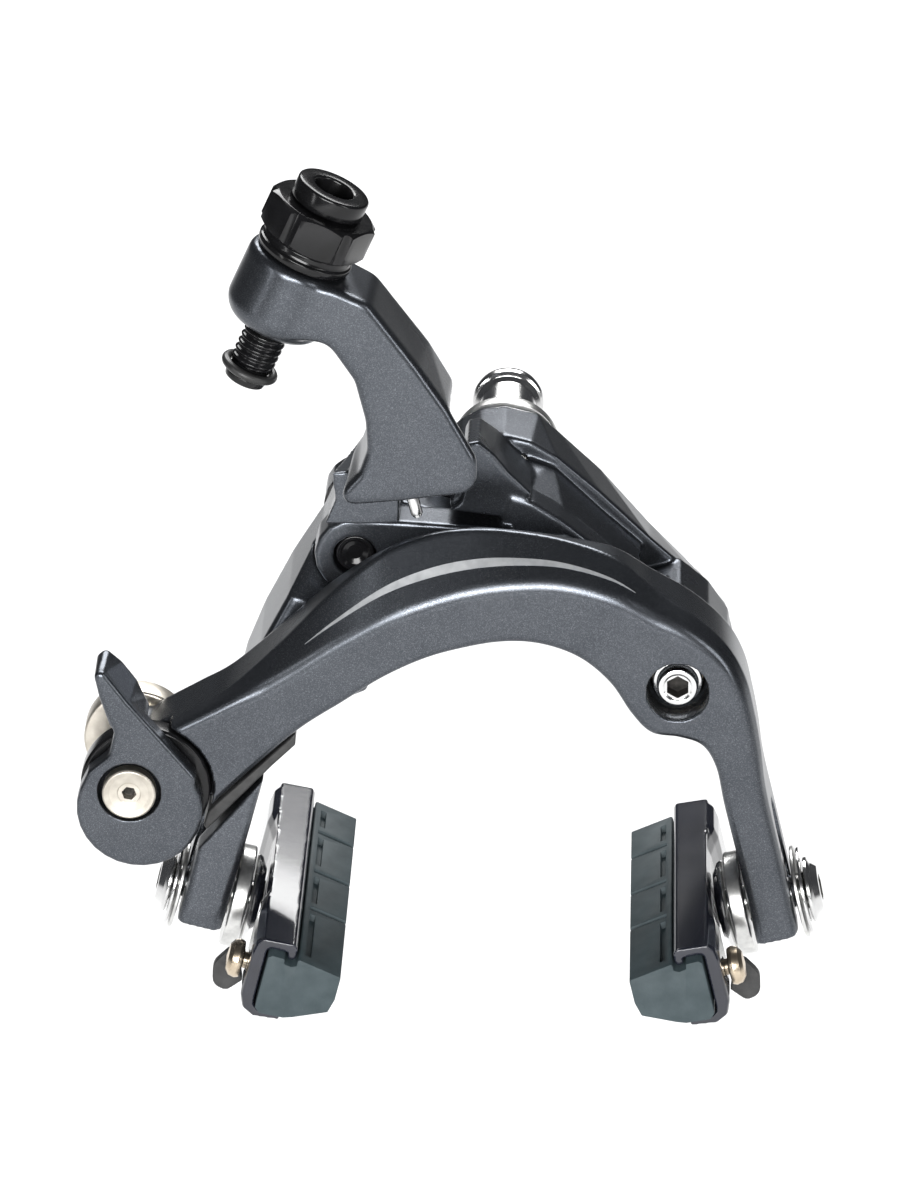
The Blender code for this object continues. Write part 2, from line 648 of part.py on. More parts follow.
def leg_sections():
    rings = []
    for outer, inner, front, back in LEG:
        o = Vector(outer)
        n = Vector(inner)
        across = (n - o).normalized()
        rings.append([
            (o.x, front + 1.0, o.y),
            (o.x + across.x * 0.3, front + 0.3, o.y + across.y * 0.3),
            (o.x + across.x * 1.0, front, o.y + across.y * 1.0),
            (n.x - across.x * 0.8, front, n.y - across.y * 0.8),
            (n.x, front + 0.8, n.y),
            (n.x, back - 0.7, n.y),
            (n.x - across.x * 0.7, back, n.y - across.y * 0.7),
            (o.x + across.x * 0.7, back, o.y + across.y * 0.7),
            (o.x, back - 0.7, o.y),
        ])
    return rings


def barrel_axis():
    return (math.sin(BARREL_TILT), 0.0, math.cos(BARREL_TILT))


# The tail that the link pin lifts
TAIL = [
    (-19.4, 1.2), (-12.0, -0.3, 2.0), (-4.0, -2.6), (3.0, -3.7), (7.0, -4.9, 0.7), (7.8, -6.2, 0.5),
    (3.0, -6.2), (-4.0, -6.8), (-10.0, -9.6, 2.0), (-19.4, -11.2),
]


def make_cable_arm():
    """The arm that carries the barrel adjuster, with its hub, left leg and tail in one forging."""
    arm = slab("cable_arm", rounded(CABLE_ARM), -38.0, -25.2, 0.8, 0.5, rounded(CABLE_ARM_BACK))
    boss_profile = [(0.4, 5.4), (1.2, 6.3), (2.4, BOSS_RADIUS), (9.8, BOSS_RADIUS), (10.6, 6.4)]
    boss = turned("boss", BARREL_FOOT, barrel_axis(), boss_profile, 36)
    neck = slab("neck", NECK, -30.0, HUB_BACK, 0.0, 0.6, NECK_BACK)
    leg = loft("leg", leg_sections())
    tail = slab("tail", rounded(TAIL), HUB_FRONT + 0.4, -13.4, 0.4, 0.4)
    join(arm, boss, neck, leg, tail)
    foot = Vector(BARREL_FOOT)
    cut(
        arm,
        post(foot, barrel_axis(), -3.0, 12.0, 3.3),
        post(foot, barrel_axis(), 10.6, 20.0, 7.0, 28),
        post(at(LEFT_PIVOT), FORWARD, -30.0, HUB_FRONT, LUG_RADIUS + 0.5, 40),
        post(at(LEFT_PIVOT), FORWARD, -30.0, 0.0, 3.9),
        shoe_slot(-1),
    )
    return finish(arm, "cable_arm", PAINT, at(LEFT_PIVOT))


def make_left_pivot_bush():
    bush = ring("bush", at(LEFT_PIVOT), FORWARD, -19.4, -10.3, 2.9, 3.6)
    return finish(bush, "left_pivot_bush", BRASS, at(LEFT_PIVOT))


SLIDER = [
    (-26.9, -25.0), (-26.9, -26.7), (-30.0, -29.8), (-38.8, -39.4), (-39.2, -38.6), (-38.6, -36.6), (-31.8, -29.9),
]


def make_slider():
    """The nylon strip on the cable arm's leg, in the gap under the front arm."""
    return finish(slab("slider", SLIDER, -38.4, -28.8, 0.2, 0.2), "spring_slider", NYLON, at(LEFT_PIVOT), False)


def make_centring_screw():
    foot = (-12.2, -30.2, 8.0)
    axis = (0.25, 0.0, -1.0)
    profile = [(0.0, 0.8), (4.8, 0.8), (5.2, 0.5)]
    return finish(turned("screw", foot, axis, profile, 16), "centring_screw", CHROME, foot)


# ---------------------------------------------------------------- barrel adjuster

def make_adjuster_washer():
    seat = ring("seat", BARREL_FOOT, barrel_axis(), 10.9, 13.2, 3.2, 6.4, 0.4, 32)
    return finish(seat, "adjuster_seat", BLACK, BARREL_FOOT)


NUT_RADIUS = 7.7


def make_adjuster_nut():
    """A hexagonal finger nut with coned rims and notched corners."""
    flats = [(13.5, NUT_RADIUS), (18.2, NUT_RADIUS)]
    body = turned("nut", BARREL_FOOT, barrel_axis(), flats, 6, turn=math.radians(30.0))
    cone = turned("cone", BARREL_FOOT, barrel_axis(), [(13.4, 6.5), (14.4, 7.9), (17.3, 7.9), (18.3, 6.5)], 24)
    combine(body, cone, "INTERSECT")
    axis = Vector(barrel_axis())
    for i in range(6):
        a = math.radians(60.0 * i + 30.0)
        spoke = Vector((0.0, 1.0, 0.0)) * math.cos(a) + axis.cross(Vector((0.0, 1.0, 0.0))) * math.sin(a)
        cut(body, post(Vector(BARREL_FOOT) + spoke * 8.0, axis, 12.0, 20.0, 1.2, 8))
    cut(body, post(BARREL_FOOT, barrel_axis(), 12.0, 20.0, 3.2))
    return finish(body, "adjuster_nut", BLACK, BARREL_FOOT)


def make_barrel():
    """The threaded barrel the cable housing seats in, bored right through for the cable."""
    profile = [(-8.2, 1.1), (-8.2, 2.6), (-7.8, 2.9), (-7.2, 2.9), (-7.2, 2.4), (-5.6, 2.4), (-5.6, THREAD_RADIUS),
               (18.5, THREAD_RADIUS), (18.5, 4.4), (19.0, 4.9), (20.6, 4.9), (21.2, 4.3), (21.2, 2.7), (17.4, 2.5),
               (17.4, 1.1)]
    barrel = turned("barrel", BARREL_FOOT, barrel_axis(), profile, 28, True)
    return finish(barrel, "adjuster_barrel", BLACK, BARREL_FOOT)


def make_o_ring():
    """The rubber ring in the groove near the lower end of the barrel."""
    profile = []
    for i in range(6):
        a = 2.0 * math.pi * i / 6
        profile.append((-6.4 + 0.6 * math.cos(a), 3.3 + 0.6 * math.sin(a)))
    o_ring = turned("o_ring", BARREL_FOOT, barrel_axis(), profile, 20, True)
    return finish(o_ring, "barrel_o_ring", RUBBER, BARREL_FOOT)


# ---------------------------------------------------------------- return spring

SPRING_PATH = [
    (-15.8, -23.6, -22.8), (-14.8, -23.4, -20.6), (-12.6, -23.2, -17.6), (-9.8, -23.0, -15.2), (-5.6, -22.6, -13.0),
    (-1.0, -22.4, -11.8), (4.6, -22.4, -12.0), (9.4, -22.8, -13.8), (12.6, -24.4, -15.4), (14.2, -27.6, -16.2),
]
SPRING_RADIUS = 0.7


def make_spring():
    """The return spring: one bent wire behind the arms."""
    rings = []
    points = [Vector(p) for p in SPRING_PATH]
    for i, p in enumerate(points):
        along = (points[min(i + 1, len(points) - 1)] - points[max(i - 1, 0)]).normalized()
        side = along.cross(Vector((0.0, 1.0, 0.0))).normalized()
        other = along.cross(side)
        row = []
        for k in range(8):
            a = 2.0 * math.pi * k / 8
            row.append(p + (side * math.cos(a) + other * math.sin(a)) * SPRING_RADIUS)
        rings.append(row)
    return finish(loft("spring", rings), "return_spring", SPRING, MIDDLE)


# ---------------------------------------------------------------- brake shoes

# Sections of the cartridge holder and the rubber block: (outward from the bolt foot, up the leg)
HOLDER = [
    (-12.3, 6.3), (-11.8, 6.9), (-7.6, 6.7), (-6.8, 5.8), (-6.5, 4.2), (-6.5, -2.2), (-7.1, -3.9), (-8.8, -4.7),
    (-12.2, -4.4), (-12.2, -3.6), (-9.2, -3.7), (-8.4, -3.0), (-8.4, 5.2), (-8.8, 5.6), (-11.2, 5.6), (-11.2, 4.8),
    (-11.8, 4.6), (-12.3, 4.9),
]
HOLDER_END = [(-12.2, 5.6), (-11.8, 6.5), (-7.8, 6.3), (-7.1, 5.4), (-7.1, -2.6), (-8.8, -4.3), (-12.1, -4.1)]
HOLDER_FACE = -7.3
HOLDER_WAIST = 1.1
PAD_SCREW_Y = -52.0
PAD_SCREW_UP = 1.2
PAD = [
    (-18.6, 4.4), (-18.6, 1.0), (-18.1, -1.0), (-13.8, -2.9), (-12.6, -3.3), (-9.4, -3.4), (-8.7, -2.7), (-8.7, 4.9),
    (-9.2, 5.3), (-10.9, 5.2), (-10.9, 4.5), (-11.9, 4.3), (-12.6, 4.6), (-12.6, 5.6),
]
GROOVE = [(-19.4, 7.0), (-13.4, 7.0), (-13.4, 4.7), (-18.0, 3.8), (-18.0, -3.0), (-19.4, -3.0)]
GROOVES = (-42.4, -32.3, -21.6)
# The left shoe sits with its rear end a little high
PITCH_LEFT = math.radians(2.2)


def shoe_ring(side, outline, y):
    foot, outward, upward = shoe_frame(side)
    lift = 0.0 if side > 0 else math.tan(PITCH_LEFT) * (y - PAD_NEAR)
    row = []
    for along, up in outline:
        p = foot + outward * along + upward * (up + lift)
        row.append((p.x, y, p.z))
    return row


def make_holder(side, name, paint, pivot):
    """The cartridge holder: a channel with hooked lips, waisted where the bolt passes."""
    depths = [PAD_NEAR + 1.2, PAD_NEAR + 1.8, -47.0, -43.0, -40.0, -25.0, -22.0, -20.0, PAD_FAR - 0.6, PAD_FAR + 0.6]
    waist = [0.3, 0.0, 0.0, 0.5, HOLDER_WAIST, HOLDER_WAIST, 0.5, 0.0, 0.0, 0.5]
    rings = []
    for y, w in zip(depths, waist):
        outline = []
        for along, up in HOLDER:
            if along > HOLDER_FACE:
                along = along - w
            outline.append((along, up))
        rings.append(shoe_ring(side, outline, y))
    holder = loft("holder", rings)
    foot, outward, upward = shoe_frame(side)
    rear = loft("rear", [shoe_ring(side, HOLDER_END, y) for y in (PAD_FAR - 0.1, PAD_FAR + 1.0)])
    join(holder, rear)
    screw = foot + upward * PAD_SCREW_UP
    cut(
        holder,
        post((screw.x, PAD_SCREW_Y, screw.z), outward, -9.0, 0.0, 1.3, 16),
        post(foot, outward, -9.0, 0.0, 2.6),
    )
    return finish(holder, name, paint, pivot)


def make_pad(side, name, pivot):
    """The rubber block, tapered to its braking face and grooved across it."""
    rings = [shoe_ring(side, PAD, y) for y in (PAD_NEAR, PAD_FAR - 0.5)]
    pad = loft("pad", rings)
    for y in GROOVES:
        cut(pad, loft("groove", [shoe_ring(side, GROOVE, y - 0.4), shoe_ring(side, GROOVE, y + 0.4)]))
    return finish(pad, name, RUBBER, pivot, False)


def make_shoe_hardware(side, tag, pivot):
    foot, outward, upward = shoe_frame(side)
    bolt = turned("bolt", foot, outward, [
        (-7.0, 0.05), (-7.0, 2.4), (4.8, 2.4), (4.8, 4.2), (5.0, 4.4), (5.4, 4.2), (5.7, 3.5), (6.5, 2.9), (6.5, 0.05),
    ], 20)
    cut(bolt, post(foot, outward, 5.3, 9.0, 1.9, 6))
    finish(bolt, "shoe_bolt_" + tag, CHROME, pivot)
    finish(ring("w", foot, outward, 3.4, 3.9, 2.7, 6.2, 0.12, 24), "outer_washer_" + tag, ZINC, pivot)
    cup = turned("cup", foot, outward, [(4.2, 2.7), (4.2, 5.9), (4.6, 5.9), (4.6, 2.7)], 24, True)
    finish(cup, "cup_washer_" + tag, CHROME, pivot)
    finish(ring("w", foot, outward, -5.5, -3.4, 2.7, 7.0, 0.2, 28), "inner_washer_" + tag, ZINC, pivot)
    cone = turned("cone", foot, outward, [(-7.3, 2.7), (-7.3, 4.6), (-6.6, 5.8), (-5.8, 6.2), (-5.8, 2.7)], 24, True)
    finish(cone, "toe_washer_" + tag, CHROME, pivot)
    screw_foot = foot + upward * PAD_SCREW_UP
    screw_foot.y = PAD_SCREW_Y
    screw = turned("screw", screw_foot, outward, [
        (-7.4, 0.05), (-7.4, 1.1), (-5.8, 1.1), (-5.8, 2.4), (-5.2, 2.6), (-4.4, 2.4), (-3.9, 1.7), (-3.7, 0.05),
    ], 16)
    finish(screw, "pad_screw_" + tag, BRASS, pivot)


FIN = [
    (-6.2, 0.6), (-4.0, 0.4, 1.0), (-2.4, -2.2, 2.0), (-3.0, -5.2, 1.6), (-5.0, -5.6, 1.0), (-6.7, -3.6),
    (-6.2, -2.2),
]


def make_fin(side, name, pivot):
    """The thin rounded tab that guides the wheel in past the shoe."""
    outline = rounded(FIN, 4)
    fin = loft("fin", [shoe_ring(side, outline, y) for y in (-49.4, -48.0)])
    return finish(fin, name, NYLON, pivot, False)


def make_shoe(side, tag, pivot):
    make_holder(side, "shoe_holder_" + tag, GLOSS, pivot)
    make_pad(side, "brake_pad_" + tag, pivot)
    make_fin(side, "guide_fin_" + tag, pivot)
    make_shoe_hardware(side, tag, pivot)


def clear_scene():
    for obj in list(bpy.data.objects):
        bpy.data.objects.remove(obj, do_unlink=True)


def build():
    clear_scene()
    make_bridge()
    make_mount_bolt()
    make_serrated_washer()
    make_mount_nut()
    make_right_pivot_bolt()
    make_left_pivot_bolt()
    make_left_pivot_cap()
    make_washers()
    make_front_arm()
    make_right_pivot_bush()
    make_link_pin()
    make_lever()
    make_cam()
    make_lever_bolt()
    make_clamp_plate()
    make_clamp_nut()
    make_cable_arm()
    make_left_pivot_bush()
    make_slider()
    make_spring()
    make_centring_screw()
    make_adjuster_washer()
    make_adjuster_nut()
    make_barrel()
    make_o_ring()
    make_shoe(1, "right", tuple(shoe_frame(1)[0]))
    make_shoe(-1, "left", tuple(shoe_frame(-1)[0]))


build()
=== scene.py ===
"""Looks of a dual-pivot road rim brake caliper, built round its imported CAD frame.

Lengths in this script are millimetres unless a name ends in _M; MM turns them into metres.
"""
import json
import math

import bmesh
import bpy
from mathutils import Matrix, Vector


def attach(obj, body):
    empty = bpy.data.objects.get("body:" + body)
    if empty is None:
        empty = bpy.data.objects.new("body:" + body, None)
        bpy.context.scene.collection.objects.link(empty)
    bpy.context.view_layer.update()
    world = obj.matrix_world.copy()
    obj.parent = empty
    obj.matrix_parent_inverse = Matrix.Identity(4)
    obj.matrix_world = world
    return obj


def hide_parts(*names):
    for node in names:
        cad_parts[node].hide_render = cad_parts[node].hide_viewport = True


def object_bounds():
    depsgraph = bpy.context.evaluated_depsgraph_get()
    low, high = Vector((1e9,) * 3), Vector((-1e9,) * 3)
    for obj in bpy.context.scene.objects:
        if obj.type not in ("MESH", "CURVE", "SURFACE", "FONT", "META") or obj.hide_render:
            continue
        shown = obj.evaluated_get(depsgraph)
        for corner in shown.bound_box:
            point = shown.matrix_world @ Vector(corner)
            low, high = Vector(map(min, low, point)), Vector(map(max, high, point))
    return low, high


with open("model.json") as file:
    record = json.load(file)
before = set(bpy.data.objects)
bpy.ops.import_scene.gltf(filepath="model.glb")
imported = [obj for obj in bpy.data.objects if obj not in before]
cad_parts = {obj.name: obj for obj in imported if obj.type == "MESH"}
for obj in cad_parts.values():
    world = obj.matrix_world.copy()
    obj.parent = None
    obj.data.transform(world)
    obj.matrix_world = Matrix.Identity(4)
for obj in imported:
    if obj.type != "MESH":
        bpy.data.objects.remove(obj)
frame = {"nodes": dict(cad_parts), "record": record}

MM = 0.001
CAD_BOX = [[float(value) for value in corner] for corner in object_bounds()]
BODY_OF = {node: body for body, nodes in frame["record"]["behaviour"]["bodies"].items() for node in nodes}

FORWARD = Vector((0.0, 1.0, 0.0))
RIGHT_PIVOT = (23.4, -17.6)
LEFT_PIVOT = (-19.4, -4.9)
LEVER_PIVOT = (-48.6, -31.4)
CAM_CENTRE = (-46.7, -32.3)
CAM_RADIUS = 8.6
CAM_RECESS_RADIUS = 9.0
LINK_PIN = (5.6, -8.2)
ARM_FRONT = -40.0
BARREL_FOOT = Vector((-30.1, -31.5, 30.4))
BARREL_TILT = math.radians(24.0)
BARREL_AXIS = Vector((math.sin(BARREL_TILT), 0.0, math.cos(BARREL_TILT)))
SHOE_BOLT_Y = -32.0
SHOE_CENTRE = {"right": (36.6, -51.4), "left": (-39.4, -51.2)}
SHOE_LEAN = {"right": math.radians(13.0), "left": math.radians(14.0)}
SHOE_SIDE = {"right": 1.0, "left": -1.0}
SHOE_PITCH = {"right": 0.0, "left": math.radians(2.2)}
PAD_NEAR = -57.0
PAD_FAR = -13.2
ROUND_STEPS = 96
# A turned piece starts this far from its axis, so that its end is a small face
AXIS_RADIUS = 0.02
SMOOTH_ANGLE = math.radians(38.0)


# ---------------------------------------------------------------- outlines

def rounded(points, radius=0.15, steps=4, closed=False):
    """The same path with every corner turned into an arc. A point may be (point, its own radius)."""
    corners = []
    for entry in points:
        own = entry[1] if isinstance(entry[0], (tuple, Vector)) else radius
        place = entry[0] if isinstance(entry[0], (tuple, Vector)) else entry
        corners.append((Vector(place), own))
    path = []
    count = len(corners)
    for i, (here, own) in enumerate(corners):
        if not closed and i in (0, count - 1):
            path.append(here.copy())
            continue
        before = corners[i - 1][0] - here
        after = corners[(i + 1) % count][0] - here
        if before.length < 1e-6 or after.length < 1e-6:
            path += [here.copy() for _ in range(steps + 1)]
            continue
        u = before.normalized()
        v = after.normalized()
        angle = max(u.angle(v), 0.05)
        if angle > math.radians(178.0):
            path += [here.copy() for _ in range(steps + 1)]
            continue
        reach = min(own / math.tan(angle / 2.0), before.length * 0.48, after.length * 0.48)
        size = reach * math.tan(angle / 2.0)
        middle = here + (u + v).normalized() * (size / math.sin(angle / 2.0))
        first = here + u * reach - middle
        last = here + v * reach - middle
        for k in range(steps + 1):
            t = k / steps
            spoke = (first * (1.0 - t) + last * t).normalized() * size
            path.append(middle + spoke)
    return path


def smooth_path(points, per):
    """A Catmull-Rom curve through points of any dimension, with a number of steps between each pair."""
    path = []
    last = len(points) - 1
    for i in range(last):
        p0 = points[max(i - 1, 0)]
        p1 = points[i]
        p2 = points[i + 1]
        p3 = points[min(i + 2, last)]
        for k in range(per):
            t = k / per
            path.append([
                0.5 * (
                    2 * b
                    + (c - a) * t
                    + (2 * a - 5 * b + 4 * c - d) * t ** 2
                    + (3 * b - a - 3 * c + d) * t ** 3
                )
                for a, b, c, d in zip(p0, p1, p2, p3)
            ])
    path.append(list(points[last]))
    return path


# ---------------------------------------------------------------- meshes

def mesh_object(name, bm):
    bmesh.ops.recalc_face_normals(bm, faces=bm.faces)
    for face in bm.faces:
        face.smooth = True
    mesh = bpy.data.meshes.new(name)
    bm.to_mesh(mesh)
    bm.free()
    obj = bpy.data.objects.new(name, mesh)
    bpy.context.scene.collection.objects.link(obj)
    return obj


def loft(name, rings, closed=False):
    """A skin through rings of equal point counts; an open one is capped at both ends."""
    bm = bmesh.new()
    rows = [[bm.verts.new(Vector(p) * MM) for p in ring] for ring in rings]
    pairs = list(zip(rows, rows[1:]))
    if closed:
        pairs.append((rows[-1], rows[0]))
    for low, high in pairs:
        for i in range(len(low)):
            bm.faces.new((low[i - 1], low[i], high[i], high[i - 1]))
    if not closed:
        bm.faces.new(rows[0])
        bm.faces.new(rows[-1])
    bmesh.ops.remove_doubles(bm, verts=bm.verts, dist=1e-7)
    return mesh_object(name, bm)


def spokes(axis):
    """Two directions square to an axis."""
    side = Vector((1.0, 0.0, 0.0)) if abs(axis.y) > 0.9 else FORWARD
    return side, axis.cross(side)


def lathe(name, foot, axis, profile, radius=0.12, closed=False, steps=ROUND_STEPS, turn=0.0):
    """A turned piece; its profile is (along, radius) points whose corners are eased."""
    side, other = spokes(axis)
    eased = rounded(profile, radius, 3, closed)
    rings = []
    for point in eased:
        ring = []
        for i in range(steps):
            a = 2.0 * math.pi * i / steps + turn
            spoke = side * math.cos(a) + other * math.sin(a)
            ring.append(Vector(foot) + axis * point[0] + spoke * max(point[1], AXIS_RADIUS))
        rings.append(ring)
    return loft(name, rings, closed)


def washer(name, foot, axis, start, end, inner, outer, radius=0.15):
    profile = [(start, inner), (start, outer), (end, outer), (end, inner)]
    return lathe(name, foot, axis, profile, radius, True)


def prism(foot, axis, start, end, radius, steps=ROUND_STEPS, turn=0.0):
    """A cutter: a straight post with many sides, or six for a hexagon."""
    return lathe("cutter", foot, axis, [(start, radius), (end, radius)], 0.0, False, steps, turn)


def apply_modifiers(obj):
    graph = bpy.context.evaluated_depsgraph_get()
    graph.update()
    made = bpy.data.meshes.new_from_object(obj.evaluated_get(graph))
    spent = obj.data
    obj.modifiers.clear()
    obj.data = made
    bpy.data.meshes.remove(spent)
    return obj


def combine(target, operation, *tools):
    for tool in tools:
        modifier = target.modifiers.new("shape", "BOOLEAN")
        modifier.operation = operation
        modifier.solver = "EXACT"
        modifier.object = tool
        apply_modifiers(target)
        bpy.data.objects.remove(tool)
    return target


def gather(name, *objects):
    """One mesh object out of several; the overlaps are not merged."""
    bm = bmesh.new()
    for obj in objects:
        bm.from_mesh(obj.data)
        bpy.data.objects.remove(obj)
    return mesh_object(name, bm)


def copy_node(node):
    """A welded copy of a CAD node's mesh."""
    bm = bmesh.new()
    bm.from_mesh(frame["nodes"][node].data)
    bmesh.ops.remove_doubles(bm, verts=bm.verts, dist=1e-6)
    return mesh_object(node + "_copy", bm)


def forge(obj, voxel, rounds, extra=None, extra_rounds=0):
    """Remeshes a piece evenly and rounds its edges.

    extra(point in mm) gives how much more a place is rounded, from 0 to 1, in extra_rounds more passes.
    """
    remesh = obj.modifiers.new("even", "REMESH")
    remesh.mode = "VOXEL"
    remesh.voxel_size = voxel * MM
    apply_modifiers(obj)
    relax = obj.modifiers.new("soften", "SMOOTH")
    relax.factor = 0.5
    relax.iterations = rounds
    apply_modifiers(obj)
    if extra:
        group = obj.vertex_groups.new(name="soft")
        for vertex in obj.data.vertices:
            group.add([vertex.index], extra(vertex.co / MM), "REPLACE")
        relax = obj.modifiers.new("soften more", "SMOOTH")
        relax.factor = 0.5
        relax.iterations = extra_rounds
        relax.vertex_group = "soft"
        apply_modifiers(obj)
        obj.vertex_groups.clear()
    for polygon in obj.data.polygons:
        polygon.use_smooth = True
    return obj


def sharpen(obj, angle=SMOOTH_ANGLE):
    for polygon in obj.data.polygons:
        polygon.use_smooth = True
    obj.data.set_sharp_from_angle(angle=angle)
    return obj


def bevel(obj, width, segments=2, angle=30.0):
    modifier = obj.modifiers.new("edge", "BEVEL")
    modifier.width = width * MM
    modifier.segments = segments
    modifier.limit_method = "ANGLE"
    modifier.angle_limit = math.radians(angle)
    modifier.harden_normals = False
    return apply_modifiers(obj)


# ---------------------------------------------------------------- materials

def mapped(tree, source, low, high):
    node = tree.nodes.new("ShaderNodeMapRange")
    node.inputs["To Min"].default_value = low
    node.inputs["To Max"].default_value = high
    tree.links.new(source, node.inputs["Value"])
    return node.outputs["Result"]


def texture(tree, kind, scale, detail=3.0, stretch=None):
    """A noise or cell texture in object space, in metres; stretch scales its axes."""
    place = tree.nodes.new("ShaderNodeTexCoord")
    source = place.outputs["Object"]
    if stretch:
        mapping = tree.nodes.new("ShaderNodeMapping")
        mapping.inputs["Scale"].default_value = stretch
        tree.links.new(source, mapping.inputs["Vector"])
        source = mapping.outputs["Vector"]
    node = tree.nodes.new("ShaderNodeTexNoise" if kind == "noise" else "ShaderNodeTexVoronoi")
    node.inputs["Scale"].default_value = scale
    if kind == "noise":
        node.inputs["Detail"].default_value = detail
    tree.links.new(source, node.inputs["Vector"])
    return node


def tint(tree, factor, dark, light):
    mix = tree.nodes.new("ShaderNodeMix")
    mix.data_type = "RGBA"
    mix.inputs["A"].default_value = (*dark, 1.0)
    mix.inputs["B"].default_value = (*light, 1.0)
    tree.links.new(factor, mix.inputs["Factor"])
    return mix.outputs["Result"]


# How few of the cells sparkle, and how much of the colour comes from flakes and from mottling
FLAKE_RARITY = 5.0
FLAKE_SHARE = 0.9
MOTTLE_SHARE = 0.2
UNEVEN_ROUGHNESS = 0.07
RELIEF_STRENGTH = 0.5


def surface(name, dark, light, rough, metallic, grain=900.0, bump_scale=2500.0, bump_depth=0.01, coat=0.0,
            coat_rough=0.1, flake=0.0, stretch=None, detail=3.0, gloss=0.5):
    """A procedural finish: mottled colour, uneven roughness and fine relief, with flakes where asked."""
    made = bpy.data.materials.new(name)
    made.use_nodes = True
    tree = made.node_tree
    shader = tree.nodes["Principled BSDF"]
    mottle = texture(tree, "noise", grain, detail, stretch)
    factor = mapped(tree, mottle.outputs["Fac"], -0.4, 1.4)
    if flake > 0.0:
        cells = texture(tree, "cells", flake)
        split = tree.nodes.new("ShaderNodeSeparateColor")
        tree.links.new(cells.outputs["Color"], split.inputs["Color"])
        spark = tree.nodes.new("ShaderNodeMath")
        spark.operation = "POWER"
        spark.inputs[1].default_value = FLAKE_RARITY
        tree.links.new(split.outputs["Red"], spark.inputs[0])
        blend = tree.nodes.new("ShaderNodeMath")
        blend.operation = "MULTIPLY_ADD"
        blend.inputs[1].default_value = FLAKE_SHARE
        tree.links.new(spark.outputs["Value"], blend.inputs[0])
        scaled = tree.nodes.new("ShaderNodeMath")
        scaled.operation = "MULTIPLY"
        scaled.inputs[1].default_value = MOTTLE_SHARE
        tree.links.new(factor, scaled.inputs[0])
        tree.links.new(scaled.outputs["Value"], blend.inputs[2])
        factor = blend.outputs["Value"]
    tree.links.new(tint(tree, factor, dark, light), shader.inputs["Base Color"])
    shader.inputs["Metallic"].default_value = metallic
    shader.inputs["Specular IOR Level"].default_value = gloss
    uneven = texture(tree, "noise", grain * 0.35, 4.0, stretch)
    blotches = mapped(tree, uneven.outputs["Fac"], rough - UNEVEN_ROUGHNESS, rough + UNEVEN_ROUGHNESS)
    tree.links.new(blotches, shader.inputs["Roughness"])
    if coat > 0.0:
        shader.inputs["Coat Weight"].default_value = coat
        shader.inputs["Coat Roughness"].default_value = coat_rough
    relief = texture(tree, "noise", bump_scale, 2.0, stretch)
    bump = tree.nodes.new("ShaderNodeBump")
    bump.inputs["Strength"].default_value = RELIEF_STRENGTH
    bump.inputs["Distance"].default_value = bump_depth * MM
    tree.links.new(relief.outputs["Fac"], bump.inputs["Height"])
    tree.links.new(bump.outputs["Normal"], shader.inputs["Normal"])
    return made


PAINT = surface("satin_metallic_paint", (0.062, 0.068, 0.078), (0.165, 0.175, 0.192), 0.28, 0.9, 120.0, 5200.0,
                0.006, flake=12000.0)
BLACK = surface("black_anodised", (0.003, 0.003, 0.003), (0.009, 0.009, 0.01), 0.17, 0.0, 300.0, 3000.0, 0.002,
                gloss=0.32)
SOCKET = surface("socket_shadow", (0.01, 0.01, 0.01), (0.07, 0.065, 0.06), 0.45, 0.6, 900.0, 3000.0, 0.02,
                 gloss=0.2)
GLOSS = surface("gloss_black_enamel", (0.006, 0.007, 0.012), (0.016, 0.018, 0.028), 0.16, 0.0, 200.0, 900.0, 0.01,
                coat=0.6, coat_rough=0.04)
CHROME = surface("bright_plating", (0.62, 0.62, 0.62), (0.82, 0.82, 0.81), 0.16, 1.0, 350.0, 1500.0, 0.003)
ZINC = surface("turned_zinc_plate", (0.5, 0.5, 0.49), (0.8, 0.8, 0.78), 0.3, 1.0, 700.0, 3000.0, 0.02)
NICKEL = surface("satin_nickel", (0.5, 0.46, 0.4), (0.72, 0.68, 0.6), 0.38, 1.0, 600.0, 4000.0, 0.01)
BRASS = surface("pale_brass", (0.5, 0.41, 0.3), (0.72, 0.62, 0.48), 0.28, 1.0, 500.0, 3000.0, 0.01)
RUBBER = surface("moulded_rubber", (0.02, 0.034, 0.039), (0.042, 0.06, 0.066), 0.62, 0.0, 420.0, 3500.0, 0.03)
SEAL = surface("seal_rubber", (0.01, 0.01, 0.01), (0.025, 0.025, 0.025), 0.38, 0.0, 500.0, 3000.0, 0.01)
NYLON = surface("dark_nylon", (0.014, 0.014, 0.014), (0.04, 0.04, 0.04), 0.5, 0.0, 700.0, 2500.0, 0.05)
STEEL = surface("drawn_spring_wire", (0.2, 0.2, 0.21), (0.42, 0.42, 0.43), 0.3, 1.0, 800.0, 3000.0, 0.01)
SILVER = surface("silver_stripe_ink", (0.3, 0.31, 0.32), (0.46, 0.47, 0.48), 0.4, 0.5, 800.0, 4000.0, 0.004)


def show(obj, node, finish, sharp=True):
    """Names a piece after the CAD node it stands for, gives it its body and finish, and hides the CAD node."""
    if sharp:
        sharpen(obj)
    obj.name = node + "_look"
    obj.data.name = obj.name
    obj.data.materials.clear()
    obj.data.materials.append(finish)
    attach(obj, BODY_OF[node])
    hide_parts(node)
    return obj


def darken(obj, foot, axis, start, end, radius):
    """The walls and floor of a socket are dark: no light reaches them."""
    obj.data.materials.append(SOCKET)
    for polygon in obj.data.polygons:
        offset = polygon.center / MM - Vector(foot)
        along = offset.dot(axis)
        if start < along < end and (offset - axis * along).length < radius:
            polygon.material_index = 1


def at(centre, y=0.0):
    return Vector((centre[0], y, centre[1]))


# ---------------------------------------------------------------- front arm

